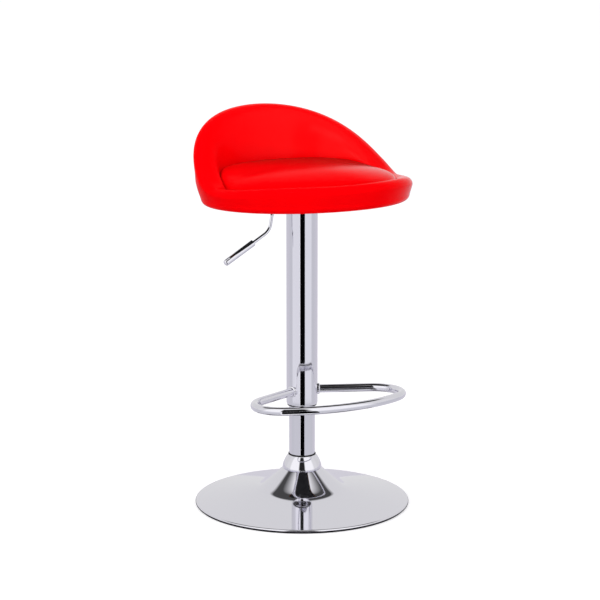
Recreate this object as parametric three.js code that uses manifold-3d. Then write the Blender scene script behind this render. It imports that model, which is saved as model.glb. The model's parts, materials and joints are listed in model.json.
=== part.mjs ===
// A gas-lift counter stool: a trumpet base and column, a sliding sleeve with a foot loop,
// a height lever, and an upholstered bucket seat with a crowned pad.
// Millimetres, +Z up. The origin is on the floor under the centre of the base.
// The sitter faces -Y, and the height lever is on the -X side.

import * as THREE from 'three';
import { mergeVertices } from 'three/addons/utils/BufferGeometryUtils.js';
import Module from 'manifold-3d';

const wasm = await Module();
wasm.setup();

// Fits, and how finely round pieces are cut
const GAP = 0.3; // air left between two pieces that touch
const OVERRUN = 5; // how far a cutting tool runs past what it cuts
const TUBE_SIDES = 20;
const DISH_SIDES = 36;
const SEAT_SIDES = 32;
const SMALL_SIDES = 10;

// Base: a spun and chromed trumpet on a rubber floor ring
const BASE_RADIUS = 207.5;
const BASE_WALL = 2;
const BASE_BEAD = 3.2; // radius of the rolled edge
const BASE_CLEARANCE = 1.3; // from the floor to the rolled edge
const NECK_RADIUS = 36;
const NECK_HEIGHT = 71;
const DISH_SLOPE_SHARE = 0.185; // rise of the dish for each unit towards the neck
const NECK_SLOPE_SHARE = 0.87; // rise of the conical neck above it
const FLARE_BLEND = 2.5; // how far the rounding between the two stands off their meeting line
const FLARE_RING_SHARES = [0.3, 0.57, 0.65, 0.7, 0.74, 0.79, 0.89, 1]; // from the edge to the neck
const BEAD_STEPS = 4;
const RING_WIDTH = 11;
const RING_FLANGE = 5; // the part of the floor ring that lies under the rolled edge
const SOCKET_WALL = 3.7;
const SOCKET_BOTTOM = 13.2;
const SOCKET_LIP = 2.5;
const SOCKET_LIP_RADIUS = 20;
const STIFFENER_RADIUS = 146.5;
const STIFFENER_THICKNESS = 2;
const COLLAR_RADIUS = 37.9;
const COLLAR_HEIGHT = 25.9;
const COLLAR_LIP = 1.2; // its wall where it ends at the column
const COLLAR_LEAN_SHARE = 1.6; // how late its side leans in
const COLLAR_ROUND_SHARE = 0.9; // how it rounds over at the top
const COLLAR_STEPS = 6;

// Column: the outer tube that stands in the base, and the plastic bush at its mouth
const COLUMN_RADIUS = 25;
const COLUMN_WALL = 1.5;
const COLUMN_TOP = 410;
const COLUMN_FLOOR = 3; // thickness of the plate that closes its lower end
const BUSH_LENGTH = 72;
const BUSH_FLANGE = 2.3;

// Gas spring: the piston rod stands on a ball thrust bearing, the pressure tube rides on it
const ROD_RADIUS = 5;
const ROD_CLEARANCE = 0.4; // radial, where the rod passes through another piece
const ROD_TAIL = 5; // rod below the column's closing plate
const ROD_SHOULDER_RADIUS = 9;
const ROD_SHOULDER = 4.8;
const ROD_NECK_RADIUS = 3.7; // the stepped end that carries the piston
const CLIP_GROOVE_RADIUS = 4;
const CLIP_RADIUS = 8.5;
const CLIP_THICKNESS = 1.8;
const CLIP_MOUTH_SHARE = 0.16; // of a full turn, left open in the clip
const RACE_RADIUS = 13;
const RACE_THICKNESS = 2;
const BALL_RADIUS = 2;
const BALL_COUNT = 9;
const BALL_SIDES = 6;
const BALL_PITCH_RADIUS = 11;
const CAGE_RADIUS = 13.4;
const CAGE_BORE = 8.6;
const CAGE_THICKNESS = 1.2;
const BUFFER_LENGTH = 20;
const PISTON_BOTTOM = 350;
const PISTON_LENGTH = 11;
const PISTON_NOSE = 5;
const PRESSURE_RADIUS = 14;
const PRESSURE_WALL = 1.75;
const PRESSURE_BOTTOM = 195;
const PRESSURE_DROP = 23; // from the seat's underside down to its closed end
const PRESSURE_LIP_RADIUS = 10.5;
const PRESSURE_LIP = 2;
const PRESSURE_CROWN = 10; // thickness of its closed upper end
const TAPER_LENGTH = 16;
const TAPER_DEPTH = 0.8; // how much smaller its radius is at the top of the taper
const SEAL_LENGTH = 22;
const VALVE_LENGTH = 19;
const VALVE_DROP = 7; // from the tube's closed end down to the valve body
const VALVE_PIN_RADIUS = 2.5;

// Sleeve: the chromed tube that hides the gas spring and carries the foot loop
const SLEEVE_RADIUS = 30;
const SLEEVE_WALL = 1.2;
const SLEEVE_BOTTOM = 199;
const SLEEVE_DROP = 16; // from the seat's underside down to its upper edge
const SLEEVE_EDGE = 0.7;
const GUIDE_RING_INSET = 1.2;
const GUIDE_RING_LENGTH = 22;
const HUB_RADIUS = 22;
const HUB_LENGTH = 34.3;
const CAP_DROP = 16; // from the pressure tube's closed end down to the cap
const CAP_LENGTH = 10;

// Foot loop: a bent tube with one broad front bend, two tight corners and two straight legs
const LOOP_TUBE_RADIUS = 8;
const LOOP_HEIGHT = 226.8; // of its centreline plane at the column's axis
const LOOP_TILT_SHARE = 0.05; // rise for each unit of distance towards the front
const LOOP_REACH = 194; // from the axis to the centreline at the front
const LOOP_FRONT_RADIUS = 250;
const LOOP_CORNER_RADIUS = 60;
const LOOP_FRONT_SHARE = 28 / 360; // of a turn, from the front's middle to a corner
const LOOP_CORNER_SHARE = 153 / 360; // of a turn, where a corner runs out into its leg
const LOOP_STEPS = 60;
const LOOP_SIDES = 10;
const LOOP_COLLAR_RADIUS = 10.8;
const LOOP_COLLAR_LENGTH = 4;

// Seat mounting and height lever
const SEAT_HEIGHT = 595; // of the seat's underside at the column's axis
const SEAT_RAKE_SHARE = 3.6 / 360; // of a turn, tipped back
const PLATE_WIDTH = 150;
const PLATE_CORNER = 15;
const PLATE_THICKNESS = 2.5;
const BOLT_SPACING = 120;
const BOLT_RADIUS = 3;
const BOLT_CLEARANCE = 0.4;
const BOLT_HEAD_RADIUS = 5.5;
const BOLT_HEAD = 3.5;
const BOLT_HEAD_ROUND = 1.2;
const TEE_BARREL_WALL = 1.3;
const TEE_BARREL = 10;
const TEE_FLANGE_RADIUS = 9.6;
const TEE_FLANGE = 1.4;
const BRACKET_LENGTH = 44;
const BRACKET_WIDTH = 32;
const BRACKET_THICKNESS = 2.5;
const BRACKET_HOLE_RADIUS = 6;
const LEVER_RADIUS = 3.2;
const LEVER_CLEARANCE = 0.9; // between the lever and the sleeve's upper edge
const LEVER_PIVOT_OUT = 17; // from the column's axis to the pivot pin
const LEVER_TIP_IN = 5; // how far the rod runs past the axis, over the valve pin
const LEVER_KNEE_OUT = 62;
const LEVER_ELBOW_OUT = 69;
const LEVER_ELBOW_DROP = 39.7;
const LEVER_END_OUT = 163.4;
const LEVER_END_DROP = 95;
const LEVER_BEND = 13; // straight length that each bend takes from its two runs
const LEVER_STEPS = 24;
const PIVOT_PIN_RADIUS = 1.5;
const PIVOT_HEAD_RADIUS = 3.4;
const PIVOT_HEAD = 1.5;
const GRIP_RADIUS = 6.3;
const GRIP_LENGTH = 70;
const GRIP_END_WALL = 4;
const GRIP_ROUND = 5;
const GRIP_STEPS = 4;

// Seat: a moulded plywood bucket, foam over its wall, and a stretched cover over the foam
const SEAT_HALF_WIDTH = 205.5;
const SEAT_HALF_DEPTH = 208;
const SEAT_SHIFT = -14; // of the seat's middle from the column's axis
const SEAT_SQUARE_SHARE = 2.05; // power of the plan's superellipse: 2 is an ellipse
const SEAT_FOOT_SHARE = 0.955; // of the plan, where the wall leaves the bottom
const SEAT_CORNER = 12.5; // radius of the bottom's rounded edge
const SEAT_SPREAD = 42; // height over which the wall spreads out to the full plan
const SEAT_LEAN_HEIGHT = 60; // from here up the wall leans outwards
const SEAT_LEAN_SHARE = 0.083; // outwards for each unit of height
const RIM_SIDE = 40.5; // where the rim is lowest
const RIM_BACK = 175;
const RIM_FRONT = 48.5;
const RIM_SIDE_SHARE = 96 / 180; // of the half turn from the back, where it has come down
const RIM_FRONT_SHARE = 150 / 180; // of the half turn from the back, where it has risen again
const RIM_LAG_SHARE = 0.31; // how late it falls
const RIM_ROUND = 14;
const COVER_THICKNESS = 1.6;
const COVER_LIP = 26; // turned in under the bucket and stapled there
const BUCKET_FLOOR = 12;
const BUCKET_WALL = 8;
const OUTER_FOAM = 5.8;
const RIM_FOAM = 12; // foam above the bucket's edge
const DUST_THICKNESS = 0.8;
const CORNER_STEPS = 3;
const WALL_STEPS = 3;
const RIM_STEPS = 4;
const INNER_STEPS = 2;
const INNER_SWELL_SHARE = 0.6; // how soon the wall thickens below its rim

// Pad: a board, a crowned foam cushion and its cover
const PAD_CREASE_FRONT = 37; // height of the pad's widest line above the seat's underside
const PAD_CREASE_BACK = 70;
const PAD_CREASE_SHARE = 100 / 180; // of the half turn from the back, where the line has come down
const PAD_LAG_SHARE = 0.8; // how late it falls
const PAD_INSET_FRONT = 33.5; // from the seat's plan in to the pad's widest line
const PAD_INSET_BACK = 48;
const PAD_CROWN = 74;
const PAD_BOARD = 9;
const PAD_COVER = 1.2;
const PAD_DRAW_IN = 6; // how far the sides are drawn in at the bottom
const PAD_LIP = 22;
const PAD_ROUND_SHARE = 2.3;
const PAD_SWELL_SHARE = 0.55;
const PAD_RING_SHARES = [1, 0.985, 0.93, 0.82, 0.64, 0.38, 0];
const PAD_SCREW_COUNT = 3;
const PAD_SCREW_PITCH_SHARE = 0.67; // of the pad's radius
const PAD_SCREW_RADIUS = 2;
const PAD_SCREW_LENGTH = 18;
const PAD_SCREW_HEAD_RADIUS = 4.2;
const PAD_SCREW_HEAD = 1.9;

const TURN = 2 * Math.PI;
const FACET_SHARE = Math.cos(TURN / 2 / TUBE_SIDES); // of a faceted bore's radius, at its flats

// Heights and radii that follow from the sizes above
const NECK_BORE = COLUMN_RADIUS + GAP + SOCKET_WALL + GAP;
const COLUMN_BOTTOM = SOCKET_BOTTOM + SOCKET_LIP + GAP;
const COLUMN_BORE = COLUMN_RADIUS - COLUMN_WALL;
const ROD_HOLE = ROD_RADIUS + ROD_CLEARANCE;
const LOWER_RACE_BOTTOM = COLUMN_BOTTOM + COLUMN_FLOOR + GAP;
const BALL_BOTTOM = LOWER_RACE_BOTTOM + RACE_THICKNESS + GAP;
const UPPER_RACE_BOTTOM = BALL_BOTTOM + 2 * BALL_RADIUS + GAP;
const SHOULDER_BOTTOM = UPPER_RACE_BOTTOM + RACE_THICKNESS + GAP;
const SHOULDER_TOP = SHOULDER_BOTTOM + ROD_SHOULDER;
const PISTON_TOP = PISTON_BOTTOM + GAP + PISTON_LENGTH;
const PRESSURE_BORE = PRESSURE_RADIUS - PRESSURE_WALL;
const PRESSURE_TOP = SEAT_HEIGHT - PRESSURE_DROP;
const SLEEVE_BORE = SLEEVE_RADIUS - SLEEVE_WALL;
const SLEEVE_TOP = SEAT_HEIGHT - SLEEVE_DROP;
const HUB_TOP = PRESSURE_TOP + GAP;
const HUB_BOTTOM = HUB_TOP - HUB_LENGTH;
const WEB_BOTTOM = HUB_TOP + GAP;
const WEB_TOP = WEB_BOTTOM + BRACKET_THICKNESS;
const LEVER_HEIGHT = SLEEVE_TOP + LEVER_CLEARANCE + LEVER_RADIUS;
const FLOOR_BOTTOM = 0;
const FLOOR_TOP = BUCKET_FLOOR + COVER_THICKNESS + GAP;
const FOAM_INSET = COVER_THICKNESS + GAP;
const BUCKET_INSET = FOAM_INSET + OUTER_FOAM + GAP;
const BUCKET_INNER_INSET = BUCKET_INSET + BUCKET_WALL;
const PAD_BOTTOM = FLOOR_TOP + GAP;
const PAD_BOARD_BOTTOM = PAD_BOTTOM + PAD_COVER + GAP;
const PAD_FOAM_BOTTOM = PAD_BOARD_BOTTOM + PAD_BOARD + GAP;
const PLATE_TOP = FLOOR_BOTTOM - DUST_THICKNESS - 2 * GAP;
const PLATE_BOTTOM = PLATE_TOP - PLATE_THICKNESS;

// Materials
const chrome = new THREE.MeshStandardMaterial({ color: '#d9dadd', roughness: 0.06, metalness: 1 });
const steel = new THREE.MeshStandardMaterial({ color: '#9a9da1', roughness: 0.35, metalness: 1 });
const blackSteel = new THREE.MeshStandardMaterial({ color: '#1b1b1d', roughness: 0.5, metalness: 0.6 });
const zincSteel = new THREE.MeshStandardMaterial({ color: '#b9bcc0', roughness: 0.4, metalness: 0.9 });
const blackPlastic = new THREE.MeshStandardMaterial({ color: '#151517', roughness: 0.55, metalness: 0 });
const rubber = new THREE.MeshStandardMaterial({ color: '#1d1d1d', roughness: 0.85, metalness: 0 });
const redLeather = new THREE.MeshStandardMaterial({ color: '#f20505', roughness: 0.42, metalness: 0 });
const foam = new THREE.MeshStandardMaterial({ color: '#e6dfc6', roughness: 0.95, metalness: 0 });
const plywood = new THREE.MeshStandardMaterial({ color: '#c49a6c', roughness: 0.8, metalness: 0 });
const blackFabric = new THREE.MeshStandardMaterial({ color: '#161616', roughness: 0.95, metalness: 0 });

const stool = new THREE.Group();
const seat = new THREE.Group();
seat.position.z = SEAT_HEIGHT;
seat.rotation.x = -SEAT_RAKE_SHARE * TURN;
stool.add(seat);

function addMesh(parent, name, geometry, material) {
  const mesh = new THREE.Mesh(geometry, material);
  mesh.name = name;
  parent.add(mesh);
  return mesh;
}

// One closed surface: shared corners merged, and slivers of no width dropped
function closed(geometry) {
  const bare = geometry.clone();
  bare.deleteAttribute('normal');
  bare.deleteAttribute('uv');
  const merged = mergeVertices(bare);
  const corners = merged.index.array;
  const kept = [];
  for (let i = 0; i < corners.length; i += 3) {
    const [a, b, c] = [corners[i], corners[i + 1], corners[i + 2]];
    if (a !== b && b !== c && c !== a) kept.push(a, b, c);
  }
  merged.setIndex(kept);
  return merged;
}

function toManifold(geometry) {
  const merged = closed(geometry);
  const vertProperties = new Float32Array(merged.attributes.position.array);
  const triVerts = new Uint32Array(merged.index.array);
  return new wasm.Manifold(new wasm.Mesh({ numProp: 3, vertProperties, triVerts }));
}

function toGeometry(manifold) {
  const mesh = manifold.getMesh();
  const geometry = new THREE.BufferGeometry();
  geometry.setAttribute('position', new THREE.BufferAttribute(mesh.vertProperties, 3));
  geometry.setIndex(new THREE.BufferAttribute(mesh.triVerts, 1));
  geometry.computeVertexNormals();
  return geometry;
}

function cut(geometry, ...tools) {
  let manifold = toManifold(geometry);
  for (const tool of tools) manifold = manifold.subtract(toManifold(tool));
  return toGeometry(manifold);
}

function joined(geometry, ...others) {
  let manifold = toManifold(geometry);
  for (const other of others) manifold = manifold.add(toManifold(other));
  return toGeometry(manifold);
}

// A solid turned about Z. The outline runs anticlockwise, seen with the radius to the right.
function turned(outline, sides = TUBE_SIDES) {
  const points = outline.map(([radius, height]) => new THREE.Vector2(radius, height));
  const geometry = new THREE.LatheGeometry(points, sides);
  geometry.rotateX(TURN / 4);
  return closed(geometry);
}

// A plain ring or tube about Z
function ring(inner, outer, bottom, top, sides = TUBE_SIDES) {
  return turned([[inner, bottom], [outer, bottom], [outer, top], [inner, top], [inner, bottom]], sides);
}

// A plain rod or disc about Z
function disc(radius, bottom, top, sides = TUBE_SIDES) {
  return turned([[0, bottom], [radius, bottom], [radius, top], [0, top]], sides);
}

function box(width, depth, bottom, top) {
  const geometry = new THREE.BoxGeometry(width, depth, top - bottom);
  geometry.translate(0, 0, (bottom + top) / 2);
  return geometry;
}

// A solid turned about the seat's middle, whose outline changes with the angle from the back
function shaped(outlineAt) {
  const positions = [];
  const index = [];
  const count = outlineAt(0).length;
  for (let side = 0; side <= SEAT_SIDES; side += 1) {
    const angle = (side / SEAT_SIDES) * TURN;
    for (const [radius, height] of outlineAt(angle)) {
      positions.push(radius * Math.sin(angle), SEAT_SHIFT + radius * Math.cos(angle), height);
    }
  }
  const corner = (i) => new THREE.Vector3().fromArray(positions, 3 * i);
  for (let side = 0; side < SEAT_SIDES; side += 1) {
    for (let step = 0; step < count - 1; step += 1) {
      const a = side * count + step;
      const b = a + 1;
      const c = a + count;
      const d = c + 1;
      // The shorter diagonal, so that neighbouring layers bend alike
      if (corner(a).distanceTo(corner(d)) < corner(b).distanceTo(corner(c))) {
        index.push(a, b, d, a, d, c);
      } else {
        index.push(a, b, c, b, d, c);
      }
    }
  }
  const geometry = new THREE.BufferGeometry();
  geometry.setAttribute('position', new THREE.Float32BufferAttribute(positions, 3));
  geometry.setIndex(index);
  return closed(geometry);
}

// Base

// The dish's upper surface: a shallow cone and a steep one, rounded where they meet
function flareHeight(radius) {
  const edge = BASE_RADIUS - BASE_BEAD;
  const edgeHeight = BASE_CLEARANCE + 2 * BASE_BEAD;
  const dish = edgeHeight + DISH_SLOPE_SHARE * (edge - radius);
  const neck = NECK_HEIGHT - NECK_SLOPE_SHARE * (radius - NECK_RADIUS);
  return Math.min(NECK_HEIGHT, (dish + neck) / 2 + Math.hypot((dish - neck) / 2, FLARE_BLEND));
}

function flareUnderside(radius) {
  const step = BASE_WALL / 2;
  const slope = (flareHeight(radius) - flareHeight(radius + step)) / step;
  return flareHeight(radius) - BASE_WALL * Math.hypot(1, slope);
}

function baseDish() {
  const edge = BASE_RADIUS - BASE_BEAD;
  const inner = edge - BASE_BEAD;
  const outline = [[NECK_BORE, flareUnderside(NECK_RADIUS)]];
  for (const share of [...FLARE_RING_SHARES].reverse()) {
    const radius = inner + (NECK_RADIUS - inner) * share;
    outline.push([radius, flareUnderside(radius)]);
  }
  outline.push([inner, flareUnderside(inner)]);
  for (let step = 0; step <= BEAD_STEPS; step += 1) {
    const angle = (step / BEAD_STEPS) * (TURN / 2);
    const centre = BASE_CLEARANCE + BASE_BEAD;
    outline.push([edge + BASE_BEAD * Math.sin(angle), centre - BASE_BEAD * Math.cos(angle)]);
  }
  for (const share of FLARE_RING_SHARES) {
    const radius = edge + (NECK_RADIUS - edge) * share;
    outline.push([radius, flareHeight(radius)]);
  }
  outline.push([NECK_BORE, NECK_HEIGHT], outline[0]);
  return turned(outline, DISH_SIDES);
}

function floorRing() {
  const edge = BASE_RADIUS - BASE_BEAD;
  const step = edge - RING_FLANGE;
  const inner = edge - RING_WIDTH;
  const flangeTop = BASE_CLEARANCE - GAP;
  return turned([
    [inner, 0],
    [edge, 0],
    [edge, flangeTop],
    [step, flangeTop],
    [step, flareUnderside(step) - GAP],
    [inner, flareUnderside(step) - GAP],
    [inner, 0],
  ], DISH_SIDES);
}

function baseSocket() {
  const bore = COLUMN_RADIUS + GAP;
  const outer = bore + SOCKET_WALL;
  const lipTop = SOCKET_BOTTOM + SOCKET_LIP;
  return turned([
    [SOCKET_LIP_RADIUS, SOCKET_BOTTOM],
    [outer, SOCKET_BOTTOM],
    [outer, NECK_HEIGHT],
    [bore, NECK_HEIGHT],
    [bore, lipTop],
    [SOCKET_LIP_RADIUS, lipTop],
    [SOCKET_LIP_RADIUS, SOCKET_BOTTOM],
  ]);
}

function baseStiffener() {
  const top = flareUnderside(STIFFENER_RADIUS) - GAP;
  return ring(NECK_BORE, STIFFENER_RADIUS, top - STIFFENER_THICKNESS, top);
}

function baseCollar() {
  const bore = COLUMN_RADIUS + GAP;
  const bottom = NECK_HEIGHT + GAP;
  const lip = bore + COLLAR_LIP;
  const outline = [[bore, bottom]];
  for (let step = 0; step <= COLLAR_STEPS; step += 1) {
    const share = step / COLLAR_STEPS;
    const lean = (1 - share ** COLLAR_LEAN_SHARE) ** COLLAR_ROUND_SHARE;
    outline.push([lip + (COLLAR_RADIUS - lip) * lean, bottom + COLLAR_HEIGHT * share]);
  }
  outline.push([bore, bottom + COLLAR_HEIGHT], [bore, bottom]);
  return turned(outline);
}

function buildBase() {
  addMesh(stool, 'base_dish', baseDish(), chrome);
  addMesh(stool, 'floor_ring', floorRing(), rubber);
  addMesh(stool, 'base_socket', baseSocket(), steel);
  addMesh(stool, 'base_stiffener', baseStiffener(), steel);
  addMesh(stool, 'base_collar', baseCollar(), chrome);
}

// Column and gas spring

function outerTube() {
  const floorTop = COLUMN_BOTTOM + COLUMN_FLOOR;
  return turned([
    [ROD_HOLE, COLUMN_BOTTOM],
    [COLUMN_RADIUS, COLUMN_BOTTOM],
    [COLUMN_RADIUS, COLUMN_TOP],
    [COLUMN_BORE, COLUMN_TOP],
    [COLUMN_BORE, floorTop],
    [ROD_HOLE, floorTop],
    [ROD_HOLE, COLUMN_BOTTOM],
  ]);
}

function guideBush() {
  const bore = (PRESSURE_RADIUS + GAP) / FACET_SHARE;
  const flangeBottom = COLUMN_TOP + GAP;
  const flangeTop = flangeBottom + BUSH_FLANGE;
  const body = COLUMN_BORE - GAP;
  return turned([
    [bore, flangeBottom - BUSH_LENGTH],
    [body, flangeBottom - BUSH_LENGTH],
    [body, flangeBottom],
    [COLUMN_RADIUS - GAP, flangeBottom],
    [COLUMN_RADIUS - GAP, flangeTop],
    [bore, flangeTop],
    [bore, flangeBottom - BUSH_LENGTH],
  ]);
}

function retainingClip() {
  const half = (CLIP_MOUTH_SHARE / 2) * TURN;
  const outline = new THREE.Shape();
  outline.absarc(0, 0, CLIP_RADIUS, half, TURN - half, false);
  outline.absarc(0, 0, CLIP_GROOVE_RADIUS + GAP, TURN - half, half, true);
  const geometry = new THREE.ExtrudeGeometry(outline, {
    depth: CLIP_THICKNESS,
    bevelEnabled: false,
    curveSegments: SMALL_SIDES,
  });
  geometry.translate(0, 0, COLUMN_BOTTOM - GAP - CLIP_THICKNESS);
  return closed(geometry);
}

function ballCage() {
  const centre = BALL_BOTTOM + BALL_RADIUS;
  const cage = ring(CAGE_BORE, CAGE_RADIUS, centre - CAGE_THICKNESS / 2, centre + CAGE_THICKNESS / 2);
  const balls = [];
  for (let i = 0; i < BALL_COUNT; i += 1) {
    const angle = (i / BALL_COUNT) * TURN;
    const ball = new THREE.SphereGeometry(BALL_RADIUS, BALL_SIDES, BALL_SIDES / 2);
    ball.rotateX(TURN / 4);
    ball.translate(BALL_PITCH_RADIUS * Math.cos(angle), BALL_PITCH_RADIUS * Math.sin(angle), centre);
    balls.push(ball);
  }
  return joined(cage, ...balls);
}

function pistonRod() {
  const bottom = COLUMN_BOTTOM - ROD_TAIL;
  const grooveBottom = COLUMN_BOTTOM - 2 * GAP - CLIP_THICKNESS;
  return turned([
    [0, bottom],
    [ROD_RADIUS, bottom],
    [ROD_RADIUS, grooveBottom],
    [CLIP_GROOVE_RADIUS, grooveBottom],
    [CLIP_GROOVE_RADIUS, COLUMN_BOTTOM],
    [ROD_RADIUS, COLUMN_BOTTOM],
    [ROD_RADIUS, SHOULDER_BOTTOM],
    [ROD_SHOULDER_RADIUS, SHOULDER_BOTTOM],
    [ROD_SHOULDER_RADIUS, SHOULDER_TOP],
    [ROD_RADIUS, SHOULDER_TOP],
    [ROD_RADIUS, PISTON_BOTTOM],
    [ROD_NECK_RADIUS, PISTON_BOTTOM],
    [ROD_NECK_RADIUS, PISTON_TOP + PISTON_NOSE],
    [0, PISTON_TOP + PISTON_NOSE],
  ], SMALL_SIDES);
}

function pressureTube() {
  const crown = PRESSURE_TOP - PRESSURE_CROWN;
  const taper = PRESSURE_TOP - TAPER_LENGTH;
  const pinHole = VALVE_PIN_RADIUS + ROD_CLEARANCE;
  return turned([
    [PRESSURE_LIP_RADIUS, PRESSURE_BOTTOM],
    [PRESSURE_RADIUS, PRESSURE_BOTTOM],
    [PRESSURE_RADIUS, taper],
    [PRESSURE_RADIUS - TAPER_DEPTH, PRESSURE_TOP],
    [pinHole, PRESSURE_TOP],
    [pinHole, crown],
    [PRESSURE_BORE - TAPER_DEPTH, crown],
    [PRESSURE_BORE, taper],
    [PRESSURE_BORE, PRESSURE_BOTTOM + PRESSURE_LIP],
    [PRESSURE_LIP_RADIUS, PRESSURE_BOTTOM + PRESSURE_LIP],
    [PRESSURE_LIP_RADIUS, PRESSURE_BOTTOM],
  ]);
}

function socketHub() {
  const taper = PRESSURE_TOP - TAPER_LENGTH;
  const bore = PRESSURE_RADIUS + GAP;
  return turned([
    [bore, HUB_BOTTOM],
    [HUB_RADIUS, HUB_BOTTOM],
    [HUB_RADIUS, HUB_TOP],
    [bore - TAPER_DEPTH, HUB_TOP],
    [bore, taper],
    [bore, HUB_BOTTOM],
  ]);
}

function sleeveTube() {
  return turned([
    [SLEEVE_BORE, SLEEVE_BOTTOM],
    [SLEEVE_RADIUS - SLEEVE_EDGE, SLEEVE_BOTTOM],
    [SLEEVE_RADIUS, SLEEVE_BOTTOM + SLEEVE_EDGE],
    [SLEEVE_RADIUS, SLEEVE_TOP],
    [SLEEVE_BORE, SLEEVE_TOP],
    [SLEEVE_BORE, SLEEVE_BOTTOM],
  ]);
}

function buildColumn() {
  addMesh(stool, 'outer_tube', outerTube(), chrome);
  addMesh(stool, 'guide_bush', guideBush(), blackPlastic);
  addMesh(stool, 'retaining_clip', retainingClip(), zincSteel);
  const lowerRace = ring(ROD_HOLE, RACE_RADIUS, LOWER_RACE_BOTTOM, LOWER_RACE_BOTTOM + RACE_THICKNESS);
  addMesh(stool, 'lower_bearing_race', lowerRace, steel);
  addMesh(stool, 'ball_cage', ballCage(), steel);
  addMesh(stool, 'piston_rod', pistonRod(), steel);
  const upperRace = ring(ROD_HOLE, RACE_RADIUS, UPPER_RACE_BOTTOM, UPPER_RACE_BOTTOM + RACE_THICKNESS);
  addMesh(stool, 'upper_bearing_race', upperRace, steel);
  const buffer = ring(ROD_HOLE, RACE_RADIUS, SHOULDER_TOP + GAP, SHOULDER_TOP + GAP + BUFFER_LENGTH);
  addMesh(stool, 'rubber_buffer', buffer, rubber);
  const pistonRadius = PRESSURE_BORE * FACET_SHARE - GAP;
  const piston = ring(ROD_NECK_RADIUS + GAP, pistonRadius, PISTON_BOTTOM + GAP, PISTON_TOP);
  addMesh(stool, 'piston_head', piston, blackPlastic);
}

function buildSleeve() {
  addMesh(stool, 'pressure_tube', pressureTube(), blackSteel);
  const sealBottom = PRESSURE_BOTTOM + PRESSURE_LIP + GAP;
  const seal = ring(ROD_HOLE, PRESSURE_BORE - GAP, sealBottom, sealBottom + SEAL_LENGTH);
  addMesh(stool, 'rod_guide_seal', seal, rubber);
  const valveTop = PRESSURE_TOP - PRESSURE_CROWN - VALVE_DROP;
  const pinHole = VALVE_PIN_RADIUS + ROD_CLEARANCE;
  const valve = ring(pinHole, PRESSURE_BORE - GAP, valveTop - VALVE_LENGTH, valveTop);
  addMesh(stool, 'valve_body', valve, zincSteel);
  const pin = disc(VALVE_PIN_RADIUS, valveTop - VALVE_LENGTH, LEVER_HEIGHT - LEVER_RADIUS - GAP, SMALL_SIDES);
  addMesh(stool, 'valve_pin', pin, steel);
  addMesh(stool, 'socket_hub', socketHub(), blackSteel);
  addMesh(stool, 'sleeve', sleeveTube(), chrome);
  const guideBottom = SLEEVE_BOTTOM + GUIDE_RING_INSET;
  const guideBore = (COLUMN_RADIUS + GAP) / FACET_SHARE;
  const guide = ring(guideBore, SLEEVE_BORE - GAP, guideBottom, guideBottom + GUIDE_RING_LENGTH);
  addMesh(stool, 'sleeve_guide_ring', guide, blackPlastic);
  const capBottom = PRESSURE_TOP - CAP_DROP;
  const cap = ring(HUB_RADIUS + GAP, SLEEVE_BORE - GAP, capBottom, capBottom + CAP_LENGTH);
  addMesh(stool, 'sleeve_top_cap', cap, blackPlastic);
}

// Foot loop

// Half of the loop's centreline: [sideways, forwards] where the corner's arc has its centre
const LOOP_FRONT_ANGLE = LOOP_FRONT_SHARE * TURN;
const LOOP_CORNER_ANGLE = LOOP_CORNER_SHARE * TURN;
const LOOP_FRONT_CENTRE = LOOP_REACH - LOOP_FRONT_RADIUS;
const LOOP_CORNER_OUT = (LOOP_FRONT_RADIUS - LOOP_CORNER_RADIUS) * Math.sin(LOOP_FRONT_ANGLE);
const LOOP_CORNER_FORWARD = LOOP_FRONT_CENTRE
  + (LOOP_FRONT_RADIUS - LOOP_CORNER_RADIUS) * Math.cos(LOOP_FRONT_ANGLE);

// A point on the loop's plane, which rises towards the front
function onLoopPlane(out, forward) {
  return new THREE.Vector3(out, -forward, LOOP_HEIGHT + LOOP_TILT_SHARE * forward);
}

// The flat centreline lifted onto the loop's plane
class LoopCurve extends THREE.Curve {
  constructor(path) {
    super();
    this.path = path;
  }

  getPoint(share) {
    const point = this.path.getPoint(share);
    return onLoopPlane(point.x, point.y);
  }
}

// Where a leg's centreline starts, and the way it runs from the column to its corner
function legLine() {
  const end = new THREE.Vector2(
    LOOP_CORNER_OUT + LOOP_CORNER_RADIUS * Math.sin(LOOP_CORNER_ANGLE),
    LOOP_CORNER_FORWARD + LOOP_CORNER_RADIUS * Math.cos(LOOP_CORNER_ANGLE),
  );
  const away = new THREE.Vector2(-Math.cos(LOOP_CORNER_ANGLE), Math.sin(LOOP_CORNER_ANGLE));
  const start = end.clone().addScaledVector(away, COLUMN_RADIUS - end.dot(away));
  return { start, end, away };
}

function tubeCutter() {
  const reach = LOOP_TUBE_RADIUS + LOOP_TILT_SHARE * LOOP_REACH + LOOP_COLLAR_RADIUS;
  return disc(SLEEVE_RADIUS + GAP, LOOP_HEIGHT - reach, LOOP_HEIGHT + reach);
}

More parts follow.
